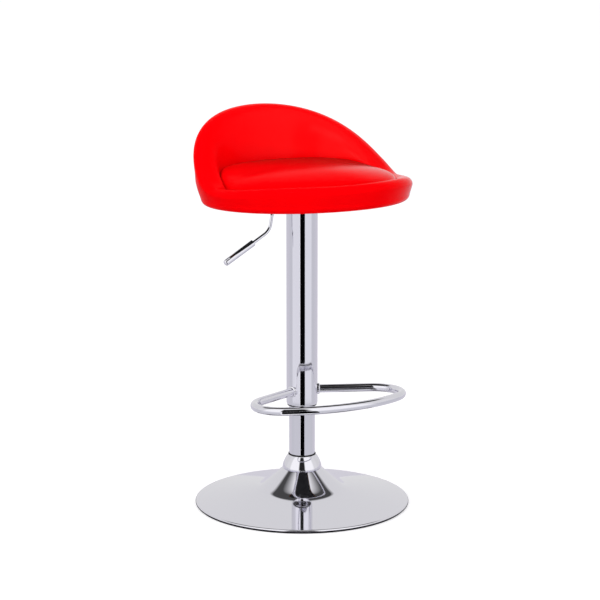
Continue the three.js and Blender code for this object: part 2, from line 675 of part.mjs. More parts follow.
function footLoop() {
  const { start, end } = legLine();
  const front = TURN / 4;
  const path = new THREE.Path();
  path.moveTo(start.x, start.y);
  path.lineTo(end.x, end.y);
  path.absarc(
    LOOP_CORNER_OUT,
    LOOP_CORNER_FORWARD,
    LOOP_CORNER_RADIUS,
    front - LOOP_CORNER_ANGLE,
    front - LOOP_FRONT_ANGLE,
    false,
  );
  path.absarc(
    0,
    LOOP_FRONT_CENTRE,
    LOOP_FRONT_RADIUS,
    front - LOOP_FRONT_ANGLE,
    front + LOOP_FRONT_ANGLE,
    false,
  );
  path.absarc(
    -LOOP_CORNER_OUT,
    LOOP_CORNER_FORWARD,
    LOOP_CORNER_RADIUS,
    front + LOOP_FRONT_ANGLE,
    front + LOOP_CORNER_ANGLE,
    false,
  );
  path.lineTo(-start.x, start.y);
  const section = new THREE.Shape();
  section.absarc(0, 0, LOOP_TUBE_RADIUS, 0, TURN, false);
  const tube = new THREE.ExtrudeGeometry(section, {
    steps: LOOP_STEPS,
    curveSegments: LOOP_SIDES / 2,
    extrudePath: new LoopCurve(path),
  });
  return cut(tube, tubeCutter());
}

// A welded ring round one leg where it meets the sleeve; side is 1 for the sitter's left
function loopCollar(side) {
  const { start, away } = legLine();
  const length = SLEEVE_RADIUS - COLUMN_RADIUS + LOOP_COLLAR_LENGTH;
  const from = onLoopPlane(side * start.x, start.y);
  const way = onLoopPlane(side * (start.x + away.x), start.y + away.y).sub(from).normalize();
  const turn = new THREE.Quaternion().setFromUnitVectors(new THREE.Vector3(0, 0, 1), way);
  const place = (geometry) => geometry.applyQuaternion(turn).translate(from.x, from.y, from.z);
  const body = place(disc(LOOP_COLLAR_RADIUS, 0, length));
  const bore = place(disc(LOOP_TUBE_RADIUS + GAP, -OVERRUN, length + OVERRUN));
  return cut(body, bore, tubeCutter());
}

function buildFootLoop() {
  addMesh(stool, 'footrest_loop', footLoop(), chrome);
  addMesh(stool, 'footrest_collar_left', loopCollar(1), chrome);
  addMesh(stool, 'footrest_collar_right', loopCollar(-1), chrome);
}

// Seat mounting and height lever

function roundedPlate(width, corner, bottom, thickness) {
  const half = width / 2;
  const inner = half - corner;
  const outline = new THREE.Shape();
  outline.absarc(inner, inner, corner, 0, TURN / 4, false);
  outline.absarc(-inner, inner, corner, TURN / 4, TURN / 2, false);
  outline.absarc(-inner, -inner, corner, TURN / 2, (3 * TURN) / 4, false);
  outline.absarc(inner, -inner, corner, (3 * TURN) / 4, TURN, false);
  const geometry = new THREE.ExtrudeGeometry(outline, {
    depth: thickness,
    bevelEnabled: false,
    curveSegments: SMALL_SIDES / 2,
  });
  geometry.translate(0, 0, bottom);
  return closed(geometry);
}

// The four bolt places of the mounting plate
function boltPlaces() {
  const half = BOLT_SPACING / 2;
  return [[half, half], [-half, half], [-half, -half], [half, -half]];
}

function boltHoles(radius, bottom, top) {
  return boltPlaces().map(([x, y]) => disc(radius, bottom, top, SMALL_SIDES).translate(x, y, 0));
}

function leverBracket() {
  const plateDrop = Math.tan(SEAT_RAKE_SHARE * TURN) * (BRACKET_WIDTH / 2);
  const top = SEAT_HEIGHT + PLATE_BOTTOM - plateDrop - GAP;
  const channel = box(BRACKET_LENGTH, BRACKET_WIDTH, WEB_BOTTOM, top);
  const gap = box(BRACKET_LENGTH + OVERRUN, BRACKET_WIDTH - 2 * BRACKET_THICKNESS, WEB_TOP, top + OVERRUN);
  const pinHole = disc(BRACKET_HOLE_RADIUS, WEB_BOTTOM - OVERRUN, WEB_TOP + OVERRUN);
  return cut(channel, gap, pinHole, pivotRod(PIVOT_PIN_RADIUS + GAP, BRACKET_WIDTH + OVERRUN));
}

// A rod along Y through the lever's pivot
function pivotRod(radius, length) {
  const rod = disc(radius, -length / 2, length / 2, SMALL_SIDES);
  rod.rotateX(TURN / 4);
  rod.translate(-LEVER_PIVOT_OUT, 0, LEVER_HEIGHT);
  return rod;
}

function pivotPin() {
  const half = BRACKET_WIDTH / 2 + GAP;
  const pin = turned([
    [0, -half - PIVOT_HEAD],
    [PIVOT_HEAD_RADIUS, -half - PIVOT_HEAD],
    [PIVOT_HEAD_RADIUS, -half],
    [PIVOT_PIN_RADIUS, -half],
    [PIVOT_PIN_RADIUS, half + PIVOT_HEAD],
    [0, half + PIVOT_HEAD],
  ], SMALL_SIDES);
  pin.rotateX(TURN / 4);
  pin.translate(-LEVER_PIVOT_OUT, 0, LEVER_HEIGHT);
  return pin;
}

// The lever's corners in the XZ plane, from over the valve pin to the grip's end
function leverCorners() {
  return [
    new THREE.Vector3(LEVER_TIP_IN, 0, LEVER_HEIGHT),
    new THREE.Vector3(-LEVER_KNEE_OUT, 0, LEVER_HEIGHT),
    new THREE.Vector3(-LEVER_ELBOW_OUT, 0, LEVER_HEIGHT - LEVER_ELBOW_DROP),
    new THREE.Vector3(-LEVER_END_OUT, 0, LEVER_HEIGHT - LEVER_END_DROP),
  ];
}

function leverRod() {
  const corners = leverCorners();
  const last = corners.length - 1;
  const outward = corners[last].clone().sub(corners[last - 1]).normalize();
  corners[last].addScaledVector(outward, -GRIP_END_WALL - GAP);
  const path = new THREE.CurvePath();
  let from = corners[0];
  for (let i = 1; i < last; i += 1) {
    const before = corners[i - 1].clone().sub(corners[i]).setLength(LEVER_BEND).add(corners[i]);
    const after = corners[i + 1].clone().sub(corners[i]).setLength(LEVER_BEND).add(corners[i]);
    path.add(new THREE.LineCurve3(from, before));
    path.add(new THREE.QuadraticBezierCurve3(before, corners[i], after));
    from = after;
  }
  path.add(new THREE.LineCurve3(from, corners[last]));
  const section = new THREE.Shape();
  section.absarc(0, 0, LEVER_RADIUS, 0, TURN, false);
  const rod = new THREE.ExtrudeGeometry(section, {
    steps: LEVER_STEPS,
    curveSegments: SMALL_SIDES / 2,
    extrudePath: path,
  });
  return cut(rod, pivotRod(PIVOT_PIN_RADIUS + GAP, 2 * (LEVER_RADIUS + OVERRUN)));
}

function leverGrip() {
  const bore = LEVER_RADIUS + GAP;
  const blind = GRIP_LENGTH - GRIP_END_WALL;
  const outline = [[bore, 0], [GRIP_RADIUS, 0]];
  for (let step = 0; step <= GRIP_STEPS; step += 1) {
    const angle = (step / GRIP_STEPS) * (TURN / 4);
    outline.push([
      GRIP_RADIUS - GRIP_ROUND + GRIP_ROUND * Math.cos(angle),
      GRIP_LENGTH - GRIP_ROUND + GRIP_ROUND * Math.sin(angle),
    ]);
  }
  outline.push([0, GRIP_LENGTH], [0, blind], [bore, blind], [bore, 0]);
  const grip = turned(outline, SMALL_SIDES);
  const corners = leverCorners();
  const end = corners[corners.length - 1];
  const outward = end.clone().sub(corners[corners.length - 2]).normalize();
  const start = end.clone().addScaledVector(outward, -GRIP_LENGTH);
  grip.applyQuaternion(new THREE.Quaternion().setFromUnitVectors(new THREE.Vector3(0, 0, 1), outward));
  grip.translate(start.x, start.y, start.z);
  return grip;
}

function seatBolt() {
  const headTop = PLATE_BOTTOM - GAP;
  const headBottom = headTop - BOLT_HEAD;
  return turned([
    [0, headBottom],
    [BOLT_HEAD_RADIUS - BOLT_HEAD_ROUND, headBottom],
    [BOLT_HEAD_RADIUS, headBottom + BOLT_HEAD_ROUND],
    [BOLT_HEAD_RADIUS, headTop],
    [BOLT_RADIUS, headTop],
    [BOLT_RADIUS, FLOOR_TOP - GAP],
    [0, FLOOR_TOP - GAP],
  ], SMALL_SIDES);
}

function teeNut() {
  const bore = BOLT_RADIUS + GAP;
  const barrel = bore + TEE_BARREL_WALL;
  const top = FLOOR_TOP - GAP;
  const flangeBottom = top - TEE_FLANGE;
  return turned([
    [bore, flangeBottom - TEE_BARREL],
    [barrel, flangeBottom - TEE_BARREL],
    [barrel, flangeBottom],
    [TEE_FLANGE_RADIUS, flangeBottom],
    [TEE_FLANGE_RADIUS, top],
    [bore, top],
    [bore, flangeBottom - TEE_BARREL],
  ], SMALL_SIDES);
}

function buildMounting() {
  addMesh(stool, 'lever_bracket', leverBracket(), blackSteel);
  addMesh(stool, 'lever_pivot_pin', pivotPin(), zincSteel);
  addMesh(stool, 'lever_rod', leverRod(), chrome);
  addMesh(stool, 'lever_grip', leverGrip(), chrome);
  const holes = boltHoles(BOLT_RADIUS + BOLT_CLEARANCE, PLATE_BOTTOM - OVERRUN, PLATE_TOP + OVERRUN);
  const plate = roundedPlate(PLATE_WIDTH, PLATE_CORNER, PLATE_BOTTOM, PLATE_THICKNESS);
  addMesh(seat, 'seat_plate', cut(plate, ...holes), blackSteel);
  boltPlaces().forEach(([x, y], i) => {
    addMesh(seat, `seat_bolt_${i + 1}`, seatBolt(), zincSteel).position.set(x, y, 0);
    addMesh(seat, `tee_nut_${i + 1}`, teeNut(), zincSteel).position.set(x, y, 0);
  });
}

// Seat

// Radius of the seat's plan, a superellipse, at an angle from the back
function planRadius(angle) {
  const across = Math.abs(Math.sin(angle) / SEAT_HALF_WIDTH) ** SEAT_SQUARE_SHARE;
  const along = Math.abs(Math.cos(angle) / SEAT_HALF_DEPTH) ** SEAT_SQUARE_SHARE;
  return (across + along) ** (-1 / SEAT_SQUARE_SHARE);
}

// The angle from the back, as a share of the half turn
function fromBack(angle) {
  return Math.min(angle, TURN - angle) / (TURN / 2);
}

// A soft fall from 1 to 0, late by a share of its way
function fall(share, lag) {
  const place = THREE.MathUtils.clamp(share, 0, 1);
  return (1 + Math.cos(place * (1 - lag + lag * place ** 2) * (TURN / 2))) / 2;
}

function rimHeight(angle) {
  const back = fall(fromBack(angle) / RIM_SIDE_SHARE, RIM_LAG_SHARE);
  const rise = 1 - fall((fromBack(angle) - RIM_SIDE_SHARE) / (RIM_FRONT_SHARE - RIM_SIDE_SHARE), 0);
  return RIM_SIDE + (RIM_BACK - RIM_SIDE) * back + (RIM_FRONT - RIM_SIDE) * rise;
}

function creaseHeight(angle) {
  const back = fall(fromBack(angle) / PAD_CREASE_SHARE, PAD_LAG_SHARE);
  return PAD_CREASE_FRONT + (PAD_CREASE_BACK - PAD_CREASE_FRONT) * back;
}

// Radius of the outer wall at a height: it spreads out from its foot, and leans outwards higher up
function wallRadius(angle, height) {
  const share = THREE.MathUtils.clamp((height - SEAT_CORNER) / SEAT_SPREAD, 0, 1);
  const spread = SEAT_FOOT_SHARE + (1 - SEAT_FOOT_SHARE) * Math.sin(share * (TURN / 4));
  return planRadius(angle) * spread + SEAT_LEAN_SHARE * Math.max(height - SEAT_LEAN_HEIGHT, 0);
}

// The outside of the seat: bottom corner and wall, up to a height, lying an inset inside the skin
function outerSide(angle, inset, top) {
  const plan = planRadius(angle);
  const points = [];
  for (let step = 0; step <= CORNER_STEPS; step += 1) {
    const turn = (step / CORNER_STEPS) * (TURN / 4);
    points.push([
      plan * SEAT_FOOT_SHARE - SEAT_CORNER + (SEAT_CORNER - inset) * Math.sin(turn),
      SEAT_CORNER - (SEAT_CORNER - inset) * Math.cos(turn),
    ]);
  }
  for (let step = 1; step <= WALL_STEPS; step += 1) {
    const height = SEAT_CORNER + (top - SEAT_CORNER) * (step / WALL_STEPS);
    points.push([wallRadius(angle, height) - inset, height]);
  }
  return points;
}

// The whole upholstered surface: outer side, rolled rim, and inner wall down to the bucket's floor
function upholstery(angle, inset) {
  const top = rimHeight(angle) - RIM_ROUND;
  const points = outerSide(angle, inset, top);
  const centre = wallRadius(angle, top) - RIM_ROUND;
  for (let step = 1; step <= RIM_STEPS; step += 1) {
    const turn = (step / RIM_STEPS) * (TURN / 2);
    points.push([
      centre + (RIM_ROUND - inset) * Math.cos(turn),
      top + (RIM_ROUND - inset) * Math.sin(turn),
    ]);
  }
  const rimFoot = centre - RIM_ROUND;
  const seam = padRadius(angle) + GAP;
  const seamHeight = Math.min(creaseHeight(angle), top - inset);
  for (let step = 1; step <= INNER_STEPS; step += 1) {
    const share = step / INNER_STEPS;
    const radius = rimFoot + (seam - rimFoot) * share ** INNER_SWELL_SHARE;
    points.push([radius + inset, top + (seamHeight - top) * share]);
  }
  points.push([seam + inset, FLOOR_TOP + GAP]);
  return points;
}

function shellCover(angle) {
  const lip = planRadius(angle) * SEAT_FOOT_SHARE - SEAT_CORNER - COVER_LIP;
  const outside = upholstery(angle, 0);
  const inside = upholstery(angle, COVER_THICKNESS).reverse();
  return [[lip, 0], ...outside, ...inside, [lip, COVER_THICKNESS], [lip, 0]];
}

// The bucket's wall, from its outer foot over its edge and down to the floor, swollen by a gap
function bucketWall(angle, swell) {
  const top = rimHeight(angle) - RIM_FOAM;
  const outside = outerSide(angle, BUCKET_INSET - swell, top);
  outside[outside.length - 1][1] += swell;
  const inside = [];
  for (let step = 0; step < WALL_STEPS; step += 1) {
    const height = top + (FLOOR_TOP - top) * (step / WALL_STEPS);
    const lift = step === 0 ? swell : 0;
    inside.push([wallRadius(angle, height) - BUCKET_INNER_INSET - swell, height + lift]);
  }
  inside.push([wallRadius(angle, FLOOR_TOP) - BUCKET_INNER_INSET - swell, FLOOR_TOP + swell]);
  return [...outside, ...inside];
}

function shellFoam(angle) {
  const outline = upholstery(angle, FOAM_INSET);
  outline.push(...bucketWall(angle, GAP).reverse(), outline[0]);
  return outline;
}

function bucketBoard(angle) {
  const edge = planRadius(angle) * SEAT_FOOT_SHARE - SEAT_CORNER - GAP;
  const lip = edge - COVER_LIP;
  const wall = bucketWall(angle, 0);
  wall[0] = [edge, wall[0][1]];
  const foot = [[0, FLOOR_BOTTOM], [lip, FLOOR_BOTTOM], [lip, FOAM_INSET], [edge, FOAM_INSET]];
  return [...foot, ...wall, [0, FLOOR_TOP]];
}

// The places of the screws that hold the pad down, about the seat's middle
function padScrewPlaces() {
  const places = [];
  for (let i = 0; i < PAD_SCREW_COUNT; i += 1) {
    const angle = (i / PAD_SCREW_COUNT) * TURN;
    const radius = padRadius(angle) * PAD_SCREW_PITCH_SHARE;
    places.push([radius * Math.sin(angle), SEAT_SHIFT + radius * Math.cos(angle)]);
  }
  return places;
}

function padScrewTools(radius, bottom, top) {
  return padScrewPlaces().map(([x, y]) => disc(radius, bottom, top, SMALL_SIDES).translate(x, y, 0));
}

function bucket() {
  const counterbore = FLOOR_TOP - GAP - TEE_FLANGE - GAP;
  const screwHead = FLOOR_BOTTOM + PAD_SCREW_HEAD + 2 * GAP;
  return cut(
    shaped(bucketBoard),
    ...boltHoles(BOLT_RADIUS + GAP + TEE_BARREL_WALL + GAP, FLOOR_BOTTOM - OVERRUN, FLOOR_TOP + OVERRUN),
    ...boltHoles(TEE_FLANGE_RADIUS + GAP, counterbore, FLOOR_TOP + OVERRUN),
    ...padScrewTools(PAD_SCREW_RADIUS + GAP, FLOOR_BOTTOM - OVERRUN, FLOOR_TOP + OVERRUN),
    ...padScrewTools(PAD_SCREW_HEAD_RADIUS + GAP, FLOOR_BOTTOM - OVERRUN, screwHead),
  );
}

function dustCover() {
  const outline = (angle) => {
    const radius = planRadius(angle) * SEAT_FOOT_SHARE - SEAT_CORNER - COVER_LIP / 2;
    const top = FLOOR_BOTTOM - GAP;
    return [[0, top - DUST_THICKNESS], [radius, top - DUST_THICKNESS], [radius, top], [0, top]];
  };
  const holes = boltHoles(BOLT_RADIUS + BOLT_CLEARANCE, PLATE_TOP - OVERRUN, FLOOR_BOTTOM + OVERRUN);
  return cut(shaped(outline), ...holes);
}

function padScrew() {
  const bottom = FLOOR_BOTTOM + GAP;
  const headTop = bottom + PAD_SCREW_HEAD;
  return turned([
    [0, bottom],
    [PAD_SCREW_HEAD_RADIUS, bottom],
    [PAD_SCREW_RADIUS, headTop],
    [PAD_SCREW_RADIUS, bottom + PAD_SCREW_LENGTH],
    [0, bottom + PAD_SCREW_LENGTH],
  ], SMALL_SIDES);
}

// The pad's widest radius, clear of the seat's inner wall
function padRadius(angle) {
  const back = fall(fromBack(angle) / PAD_CREASE_SHARE, PAD_LAG_SHARE);
  return planRadius(angle) - PAD_INSET_FRONT - (PAD_INSET_BACK - PAD_INSET_FRONT) * back;
}

// The pad's crown, from its crease to its middle, lying an inset inside its skin
function padCrown(angle, inset) {
  const crease = creaseHeight(angle);
  return PAD_RING_SHARES.map((share) => {
    const swell = (1 - share ** PAD_ROUND_SHARE) ** PAD_SWELL_SHARE;
    return [(padRadius(angle) - inset) * share, crease + (PAD_CROWN - inset - crease) * swell];
  });
}

function padFoam(angle) {
  const inset = PAD_COVER + GAP;
  const foot = padRadius(angle) - PAD_DRAW_IN - inset;
  return [[0, PAD_FOAM_BOTTOM], [foot, PAD_FOAM_BOTTOM], ...padCrown(angle, inset)];
}

function padCover(angle) {
  const foot = padRadius(angle) - PAD_DRAW_IN;
  const lip = foot - PAD_LIP;
  const skinTop = PAD_BOTTOM + PAD_COVER;
  return [
    ...padCrown(angle, PAD_COVER).reverse(),
    [foot - PAD_COVER, skinTop],
    [lip, skinTop],
    [lip, PAD_BOTTOM],
    [foot, PAD_BOTTOM],
    ...padCrown(angle, 0),
  ];
}

function padBoard(angle) {
  const radius = padRadius(angle) - PAD_DRAW_IN - PAD_COVER - GAP;
  const top = PAD_BOARD_BOTTOM + PAD_BOARD;
  return [[0, PAD_BOARD_BOTTOM], [radius, PAD_BOARD_BOTTOM], [radius, top], [0, top]];
}

function buildSeat() {
  addMesh(seat, 'underside_cover', dustCover(), blackFabric);
  addMesh(seat, 'bucket_board', bucket(), plywood);
  addMesh(seat, 'shell_foam', shaped(shellFoam), foam);
  addMesh(seat, 'shell_cover', shaped(shellCover), redLeather);
  padScrewPlaces().forEach(([x, y], i) => {
    addMesh(seat, `pad_screw_${i + 1}`, padScrew(), zincSteel).position.set(x, y, 0);
  });
  const pilotTop = FLOOR_BOTTOM + PAD_SCREW_LENGTH + 2 * GAP;
  const pilots = padScrewTools(PAD_SCREW_RADIUS + GAP, PAD_BOARD_BOTTOM - OVERRUN, pilotTop);
  addMesh(seat, 'pad_board', cut(shaped(padBoard), ...pilots), plywood);
  addMesh(seat, 'pad_foam', shaped(padFoam), foam);
  addMesh(seat, 'pad_cover', shaped(padCover), redLeather);
}

buildBase();
buildColumn();
buildSleeve();
buildFootLoop();
buildMounting();
buildSeat();

export default stool;
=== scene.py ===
# Gas-lift counter stool: red upholstered bucket seat on a chromed sleeve, column and base, with
# a foot loop and a height lever.
# Sizes in the dictionaries are millimetres. +Z is up, the sitter faces -Y, the lever is on -X.

import json
from math import atan2, cos, dist, hypot, pi, radians, sin
import bmesh
import bpy
from mathutils import Matrix, Vector


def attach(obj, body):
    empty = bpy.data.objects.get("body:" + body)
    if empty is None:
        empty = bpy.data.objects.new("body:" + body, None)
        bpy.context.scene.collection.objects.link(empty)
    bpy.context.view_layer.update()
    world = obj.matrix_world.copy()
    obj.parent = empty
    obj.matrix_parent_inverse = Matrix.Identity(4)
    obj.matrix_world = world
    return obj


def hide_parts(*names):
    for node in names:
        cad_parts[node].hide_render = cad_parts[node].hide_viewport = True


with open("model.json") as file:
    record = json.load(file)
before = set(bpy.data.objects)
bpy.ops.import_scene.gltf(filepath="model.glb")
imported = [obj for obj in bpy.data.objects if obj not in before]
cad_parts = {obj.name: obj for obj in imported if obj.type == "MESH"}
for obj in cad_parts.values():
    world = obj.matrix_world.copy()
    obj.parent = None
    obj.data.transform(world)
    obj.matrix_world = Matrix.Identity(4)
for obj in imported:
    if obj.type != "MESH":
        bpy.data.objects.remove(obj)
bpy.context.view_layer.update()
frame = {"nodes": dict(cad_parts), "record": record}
mm = 0.001
fit = 0.3  # left between pieces that touch, as in the solids


# Selecting, adding and finishing

def deselectAll():
    if bpy.context.mode != "OBJECT":
        bpy.ops.object.mode_set(mode="OBJECT")
    bpy.ops.object.select_all(action="DESELECT")


def makeActive(piece):
    deselectAll()
    piece.select_set(True)
    bpy.context.view_layer.objects.active = piece


def editAll(piece):
    makeActive(piece)
    bpy.ops.object.mode_set(mode="EDIT")
    bpy.ops.mesh.select_all(action="SELECT")


def nameIt(piece, name):
    piece.name = name
    piece.data.name = name
    return piece


def newObject(name, mesh):
    piece = bpy.data.objects.new(name, mesh)
    bpy.context.scene.collection.objects.link(piece)
    return piece


# Adds one modifier with its settings and applies it
def modify(piece, kind, **settings):
    makeActive(piece)
    bpy.ops.object.modifier_add(type=kind)
    modifier = piece.modifiers[-1]
    for key, value in settings.items():
        setattr(modifier, key, value)
    bpy.ops.object.modifier_apply(modifier=modifier.name)


# Place goes into the mesh, doubles are merged, faces point outwards, and edges sharper than the
# angle stay crisp
def finishPiece(piece, crisp=35, outwards=True):
    makeActive(piece)
    bpy.ops.object.transform_apply(location=True, rotation=True, scale=True)
    editAll(piece)
    bpy.ops.mesh.remove_doubles(threshold=0.002 * mm)
    if outwards:
        bpy.ops.mesh.normals_make_consistent(inside=False)
    makeActive(piece)
    bpy.ops.object.shade_smooth_by_angle(angle=radians(crisp))
    return piece


# The piece's finish, slot and body, and the nodes that it stands for
def settle(piece, slotName, body, *replaced):
    piece.data.materials.clear()
    piece.data.materials.append(slotLooks[slotName])
    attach(piece, body)
    if replaced:
        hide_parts(*replaced)


# Turned work: a circle is pulled from ring to ring along the outline of [radius, height]
def turnPiece(name, outline, sides=128, closed=True):
    deselectAll()
    radius, height = outline[0]
    start = (0, 0, height * mm)
    bpy.ops.mesh.primitive_circle_add(vertices=sides, radius=radius * mm, location=start)
    piece = nameIt(bpy.context.object, name)
    editAll(piece)
    ends = outline[1:] + outline[:1] if closed else outline[1:]
    for newRadius, newHeight in ends:
        rise = (newHeight - height) * mm
        bpy.ops.mesh.extrude_edges_move(TRANSFORM_OT_translate={"value": (0, 0, rise)})
        grow = newRadius / radius
        bpy.ops.transform.resize(value=(grow, grow, 1), center_override=(0, 0, newHeight * mm))
        radius, height = newRadius, newHeight
    if not closed:
        bpy.ops.mesh.select_all(action="SELECT")
        bpy.ops.mesh.fill_holes(sides=0)
    return finishPiece(piece)


# An arc of [radius, height] points, turning from one angle to another, in degrees
def arc(centre, size, fromAngle, toAngle, steps):
    points = []
    for step in range(steps + 1):
        angle = radians(fromAngle + (toAngle - fromAngle) * step / steps)
        points.append([centre[0] + size * cos(angle), centre[1] + size * sin(angle)])
    return points


# Bent round bar or tube along a line of points: a curve with a round section, made a mesh
def bendBar(name, points, radius, roundness):
    deselectAll()
    bpy.ops.curve.primitive_bezier_curve_add()
    bar = bpy.context.object
    curve = bar.data
    curve.splines.clear()
    spline = curve.splines.new("POLY")
    spline.points.add(len(points) - 1)
    for place, point in zip(spline.points, points):
        place.co = (*(Vector(point) * mm), 1)
    curve.bevel_depth = radius * mm
    curve.bevel_resolution = roundness
    curve.use_fill_caps = True
    bpy.ops.object.convert(target="MESH")
    return finishPiece(nameIt(bpy.context.object, name))


# The frame that stands a turned piece at a point, along a direction
def standAlong(start, way):
    return Matrix.Translation(start * mm) @ way.to_track_quat("Z", "Y").to_matrix().to_4x4()


# Takes one solid piece out of another, and removes the cutter
def cutAway(piece, cutter):
    modify(piece, "BOOLEAN", operation="DIFFERENCE", solver="EXACT", object=cutter)
    bpy.data.objects.remove(cutter)


# Takes a round hole, or a hexagon, out of a piece, along the Z axis of a frame
def drill(piece, radius, bottom, top, sides=32, place=Matrix()):
    cutter = turnPiece("cutter", [[radius, bottom], [radius, top]], sides, False)
    cutter.matrix_world = place
    cutAway(piece, cutter)


# A block with its middle at a height over the origin
def makeBlock(name, size, middle=0.0):
    deselectAll()
    bpy.ops.mesh.primitive_cube_add(size=1, location=(0, 0, middle * mm))
    piece = nameIt(bpy.context.object, name)
    piece.scale = Vector(size) * mm
    bpy.ops.object.transform_apply(location=True, rotation=True, scale=True)
    return piece


# Closes the open ends of a skin
def closeSkin(piece):
    editAll(piece)
    bpy.ops.mesh.fill_holes(sides=0)
    bpy.ops.mesh.normals_make_consistent(inside=False)
    deselectAll()


# Colours and shader nodes

def hexColour(code):
    parts = [int(code[i:i + 2], 16) / 255 for i in (1, 3, 5)]
    linear = [p / 12.92 if p <= 0.04045 else ((p + 0.055) / 1.055) ** 2.4 for p in parts]
    return (*linear, 1.0)


# Adds a shader node with its settings, socket values and links.
# A link from a whole node takes its first output.
def addNode(tree, kind, settings=None, values=None, links=None):
    node = tree.nodes.new("ShaderNode" + kind)
    for key, value in (settings or {}).items():
        setattr(node, key, value)
    for key, value in (values or {}).items():
        node.inputs[key].default_value = value
    for key, source in (links or {}).items():
        tree.links.new(getattr(source, "outputs", [source])[0], node.inputs[key])
    return node


# A material, its nodes, and the object's own coordinates for its patterns
def newMaterial(name, colour, **values):
    material = bpy.data.materials.new(name)
    material.use_nodes = True
    tree = material.node_tree
    shader = tree.nodes["Principled BSDF"]
    shader.inputs["Base Color"].default_value = hexColour(colour)
    for key, value in values.items():
        shader.inputs[key].default_value = value
    return material, tree, addNode(tree, "TexCoord").outputs["Object"]


# One over a size in millimetres: the scale that gives a pattern cells of that size
def perSize(size):
    return 1 / (size * mm)


# Two colours, clouded into each other by noise
def cloudyTint(tree, place, size, colour, otherColour, detail=2.0):
    values = {"Scale": perSize(size), "Detail": detail}
    clouds = addNode(tree, "TexNoise", None, values, {"Vector": place})
    ends = {"A": hexColour(colour), "B": hexColour(otherColour)}
    return addNode(tree, "Mix", {"data_type": "RGBA"}, ends, {"Factor": clouds})


# Roughness that drifts between two values, which the noise reaches at 0.3 and 0.7
def patchyGloss(tree, place, size, smoothest, roughest, detail=2.0):
    values = {"Scale": perSize(size), "Detail": detail}
    patches = addNode(tree, "TexNoise", None, values, {"Vector": place})
    ends = {"From Min": 0.3, "From Max": 0.7, "To Min": smoothest, "To Max": roughest}
    return addNode(tree, "MapRange", None, ends, {"Value": patches})


# Fine relief from a pattern, on top of another relief if there is one
def fineRelief(tree, place, kind, size, depth, values=None, strength=1.0, under=None, **settings):
    values = {"Scale": perSize(size), **(values or {})}
    pattern = addNode(tree, kind, settings, values, {"Vector": place})
    links = {"Height": pattern, "Normal": under} if under else {"Height": pattern}
    return addNode(tree, "Bump", None, {"Distance": depth * mm, "Strength": strength}, links)


# Links patterns to the material's shader
def feedShader(material, sources):
    tree = material.node_tree
    for key, node in sources.items():
        source = node.outputs["Normal" if key == "Normal" else "Result"]
        tree.links.new(source, tree.nodes["Principled BSDF"].inputs[key])
    return material


print("materials")

chromeLook = {
    "colour": "#e4e3ea",
    "hazeSize": 45,  # patches left by buffing
    "clearest": 0.03,
    "haziest": 0.07,
    "waveSize": 38,  # how far apart the slow waves of the polished steel lie
    "waveDepth": 0.03,
}


# Bright nickel-chrome plate on polished steel: a cool, clear mirror with faint buffing haze
def makeChromePlate():
    look = chromeLook
    material, tree, place = newMaterial("nickelChromePlate", look["colour"], Metallic=1.0)
    haze = patchyGloss(tree, place, look["hazeSize"], look["clearest"], look["haziest"], 3.0)
    relief = fineRelief(tree, place, "TexNoise", look["waveSize"], look["waveDepth"],
                        {"Detail": 1.0})
    return feedShader(material, {"Roughness": haze, "Normal": relief})


vinylLook = {
    "colour": "#fb0107",
    "deepColour": "#f00005",
    "cloudSize": 70,  # slow change of colour over the skin
    "grainSize": 1.6,  # pebbles of the embossed grain, about twice their real size so they show
    "grainDepth": 0.03,
    "pullSize": 11,  # faint pulls of the stretched skin
    "pullDepth": 0.025,
    "smoothest": 0.15,
    "roughest": 0.2,
    "leastShine": 0.003,
    "paintedSheenMost": 0.072,  # painted sheen: the skin is made shinier towards the sitter's left and the back, where the light's sheen falls
    "paintedSheenWay": (0.9, 0.44, 0),
    "paintedSheenStart": -60,
    "paintedSheenEnd": 130,
}


# Polyurethane-coated synthetic leather, calender-embossed: an even colour, a soft shine, a fine
# pebble grain
def makeRedVinyl():
    look = vinylLook
    material, tree, place = newMaterial("redSyntheticLeather", look["colour"], IOR=1.5)
    tint = cloudyTint(tree, place, look["cloudSize"], look["deepColour"], look["colour"])
    pulls = fineRelief(tree, place, "TexNoise", look["pullSize"], look["pullDepth"],
                       {"Detail": 3.0})
    grain = fineRelief(tree, place, "TexVoronoi", look["grainSize"], look["grainDepth"],
                       {"Smoothness": 0.6}, 0.7, pulls, feature="SMOOTH_F1")
    gloss = patchyGloss(tree, place, 3 * look["grainSize"], look["smoothest"], look["roughest"],
                        3.0)
    # Painted sheen: the shine grows along a fixed way across the seat, standing for the light's
    # sheen on the sitter's left and the back
    along = addNode(tree, "VectorMath", {"operation": "DOT_PRODUCT"}, {1: look["paintedSheenWay"]},
                    {0: place})
    ends = {"From Min": look["paintedSheenStart"] * mm, "From Max": look["paintedSheenEnd"] * mm,
            "To Min": look["leastShine"], "To Max": look["paintedSheenMost"]}
    shine = addNode(tree, "MapRange", {"interpolation_type": "SMOOTHSTEP"}, ends,
                    {"Value": along.outputs["Value"]})
    return feedShader(material, {"Base Color": tint, "Roughness": gloss,
                                 "Specular IOR Level": shine, "Normal": grain})


clothLook = {
    "name": "spunbondCloth",
    "colour": "#1b1b1c",
    "otherColour": "#29292a",
    "cloudSize": 1.2,  # width of the fibres
    "detail": 4.0,
    "roughness": 0.9,
    "shine": 0.25,
    "cell": 2.4,  # the grid of points where the fibres are pressed together
    "depth": 0.12,
    "disorder": 0.15,
}
foamLook = {
    "name": "cutFoam",
    "colour": "#e8e0c6",
    "otherColour": "#ddd0a8",
    "cloudSize": 40,  # patches where it has aged
    "detail": 2.0,
    "roughness": 0.95,
    "shine": 0.1,
    "cell": 1.1,  # the pores
    "depth": 0.4,
    "disorder": 1.0,
}


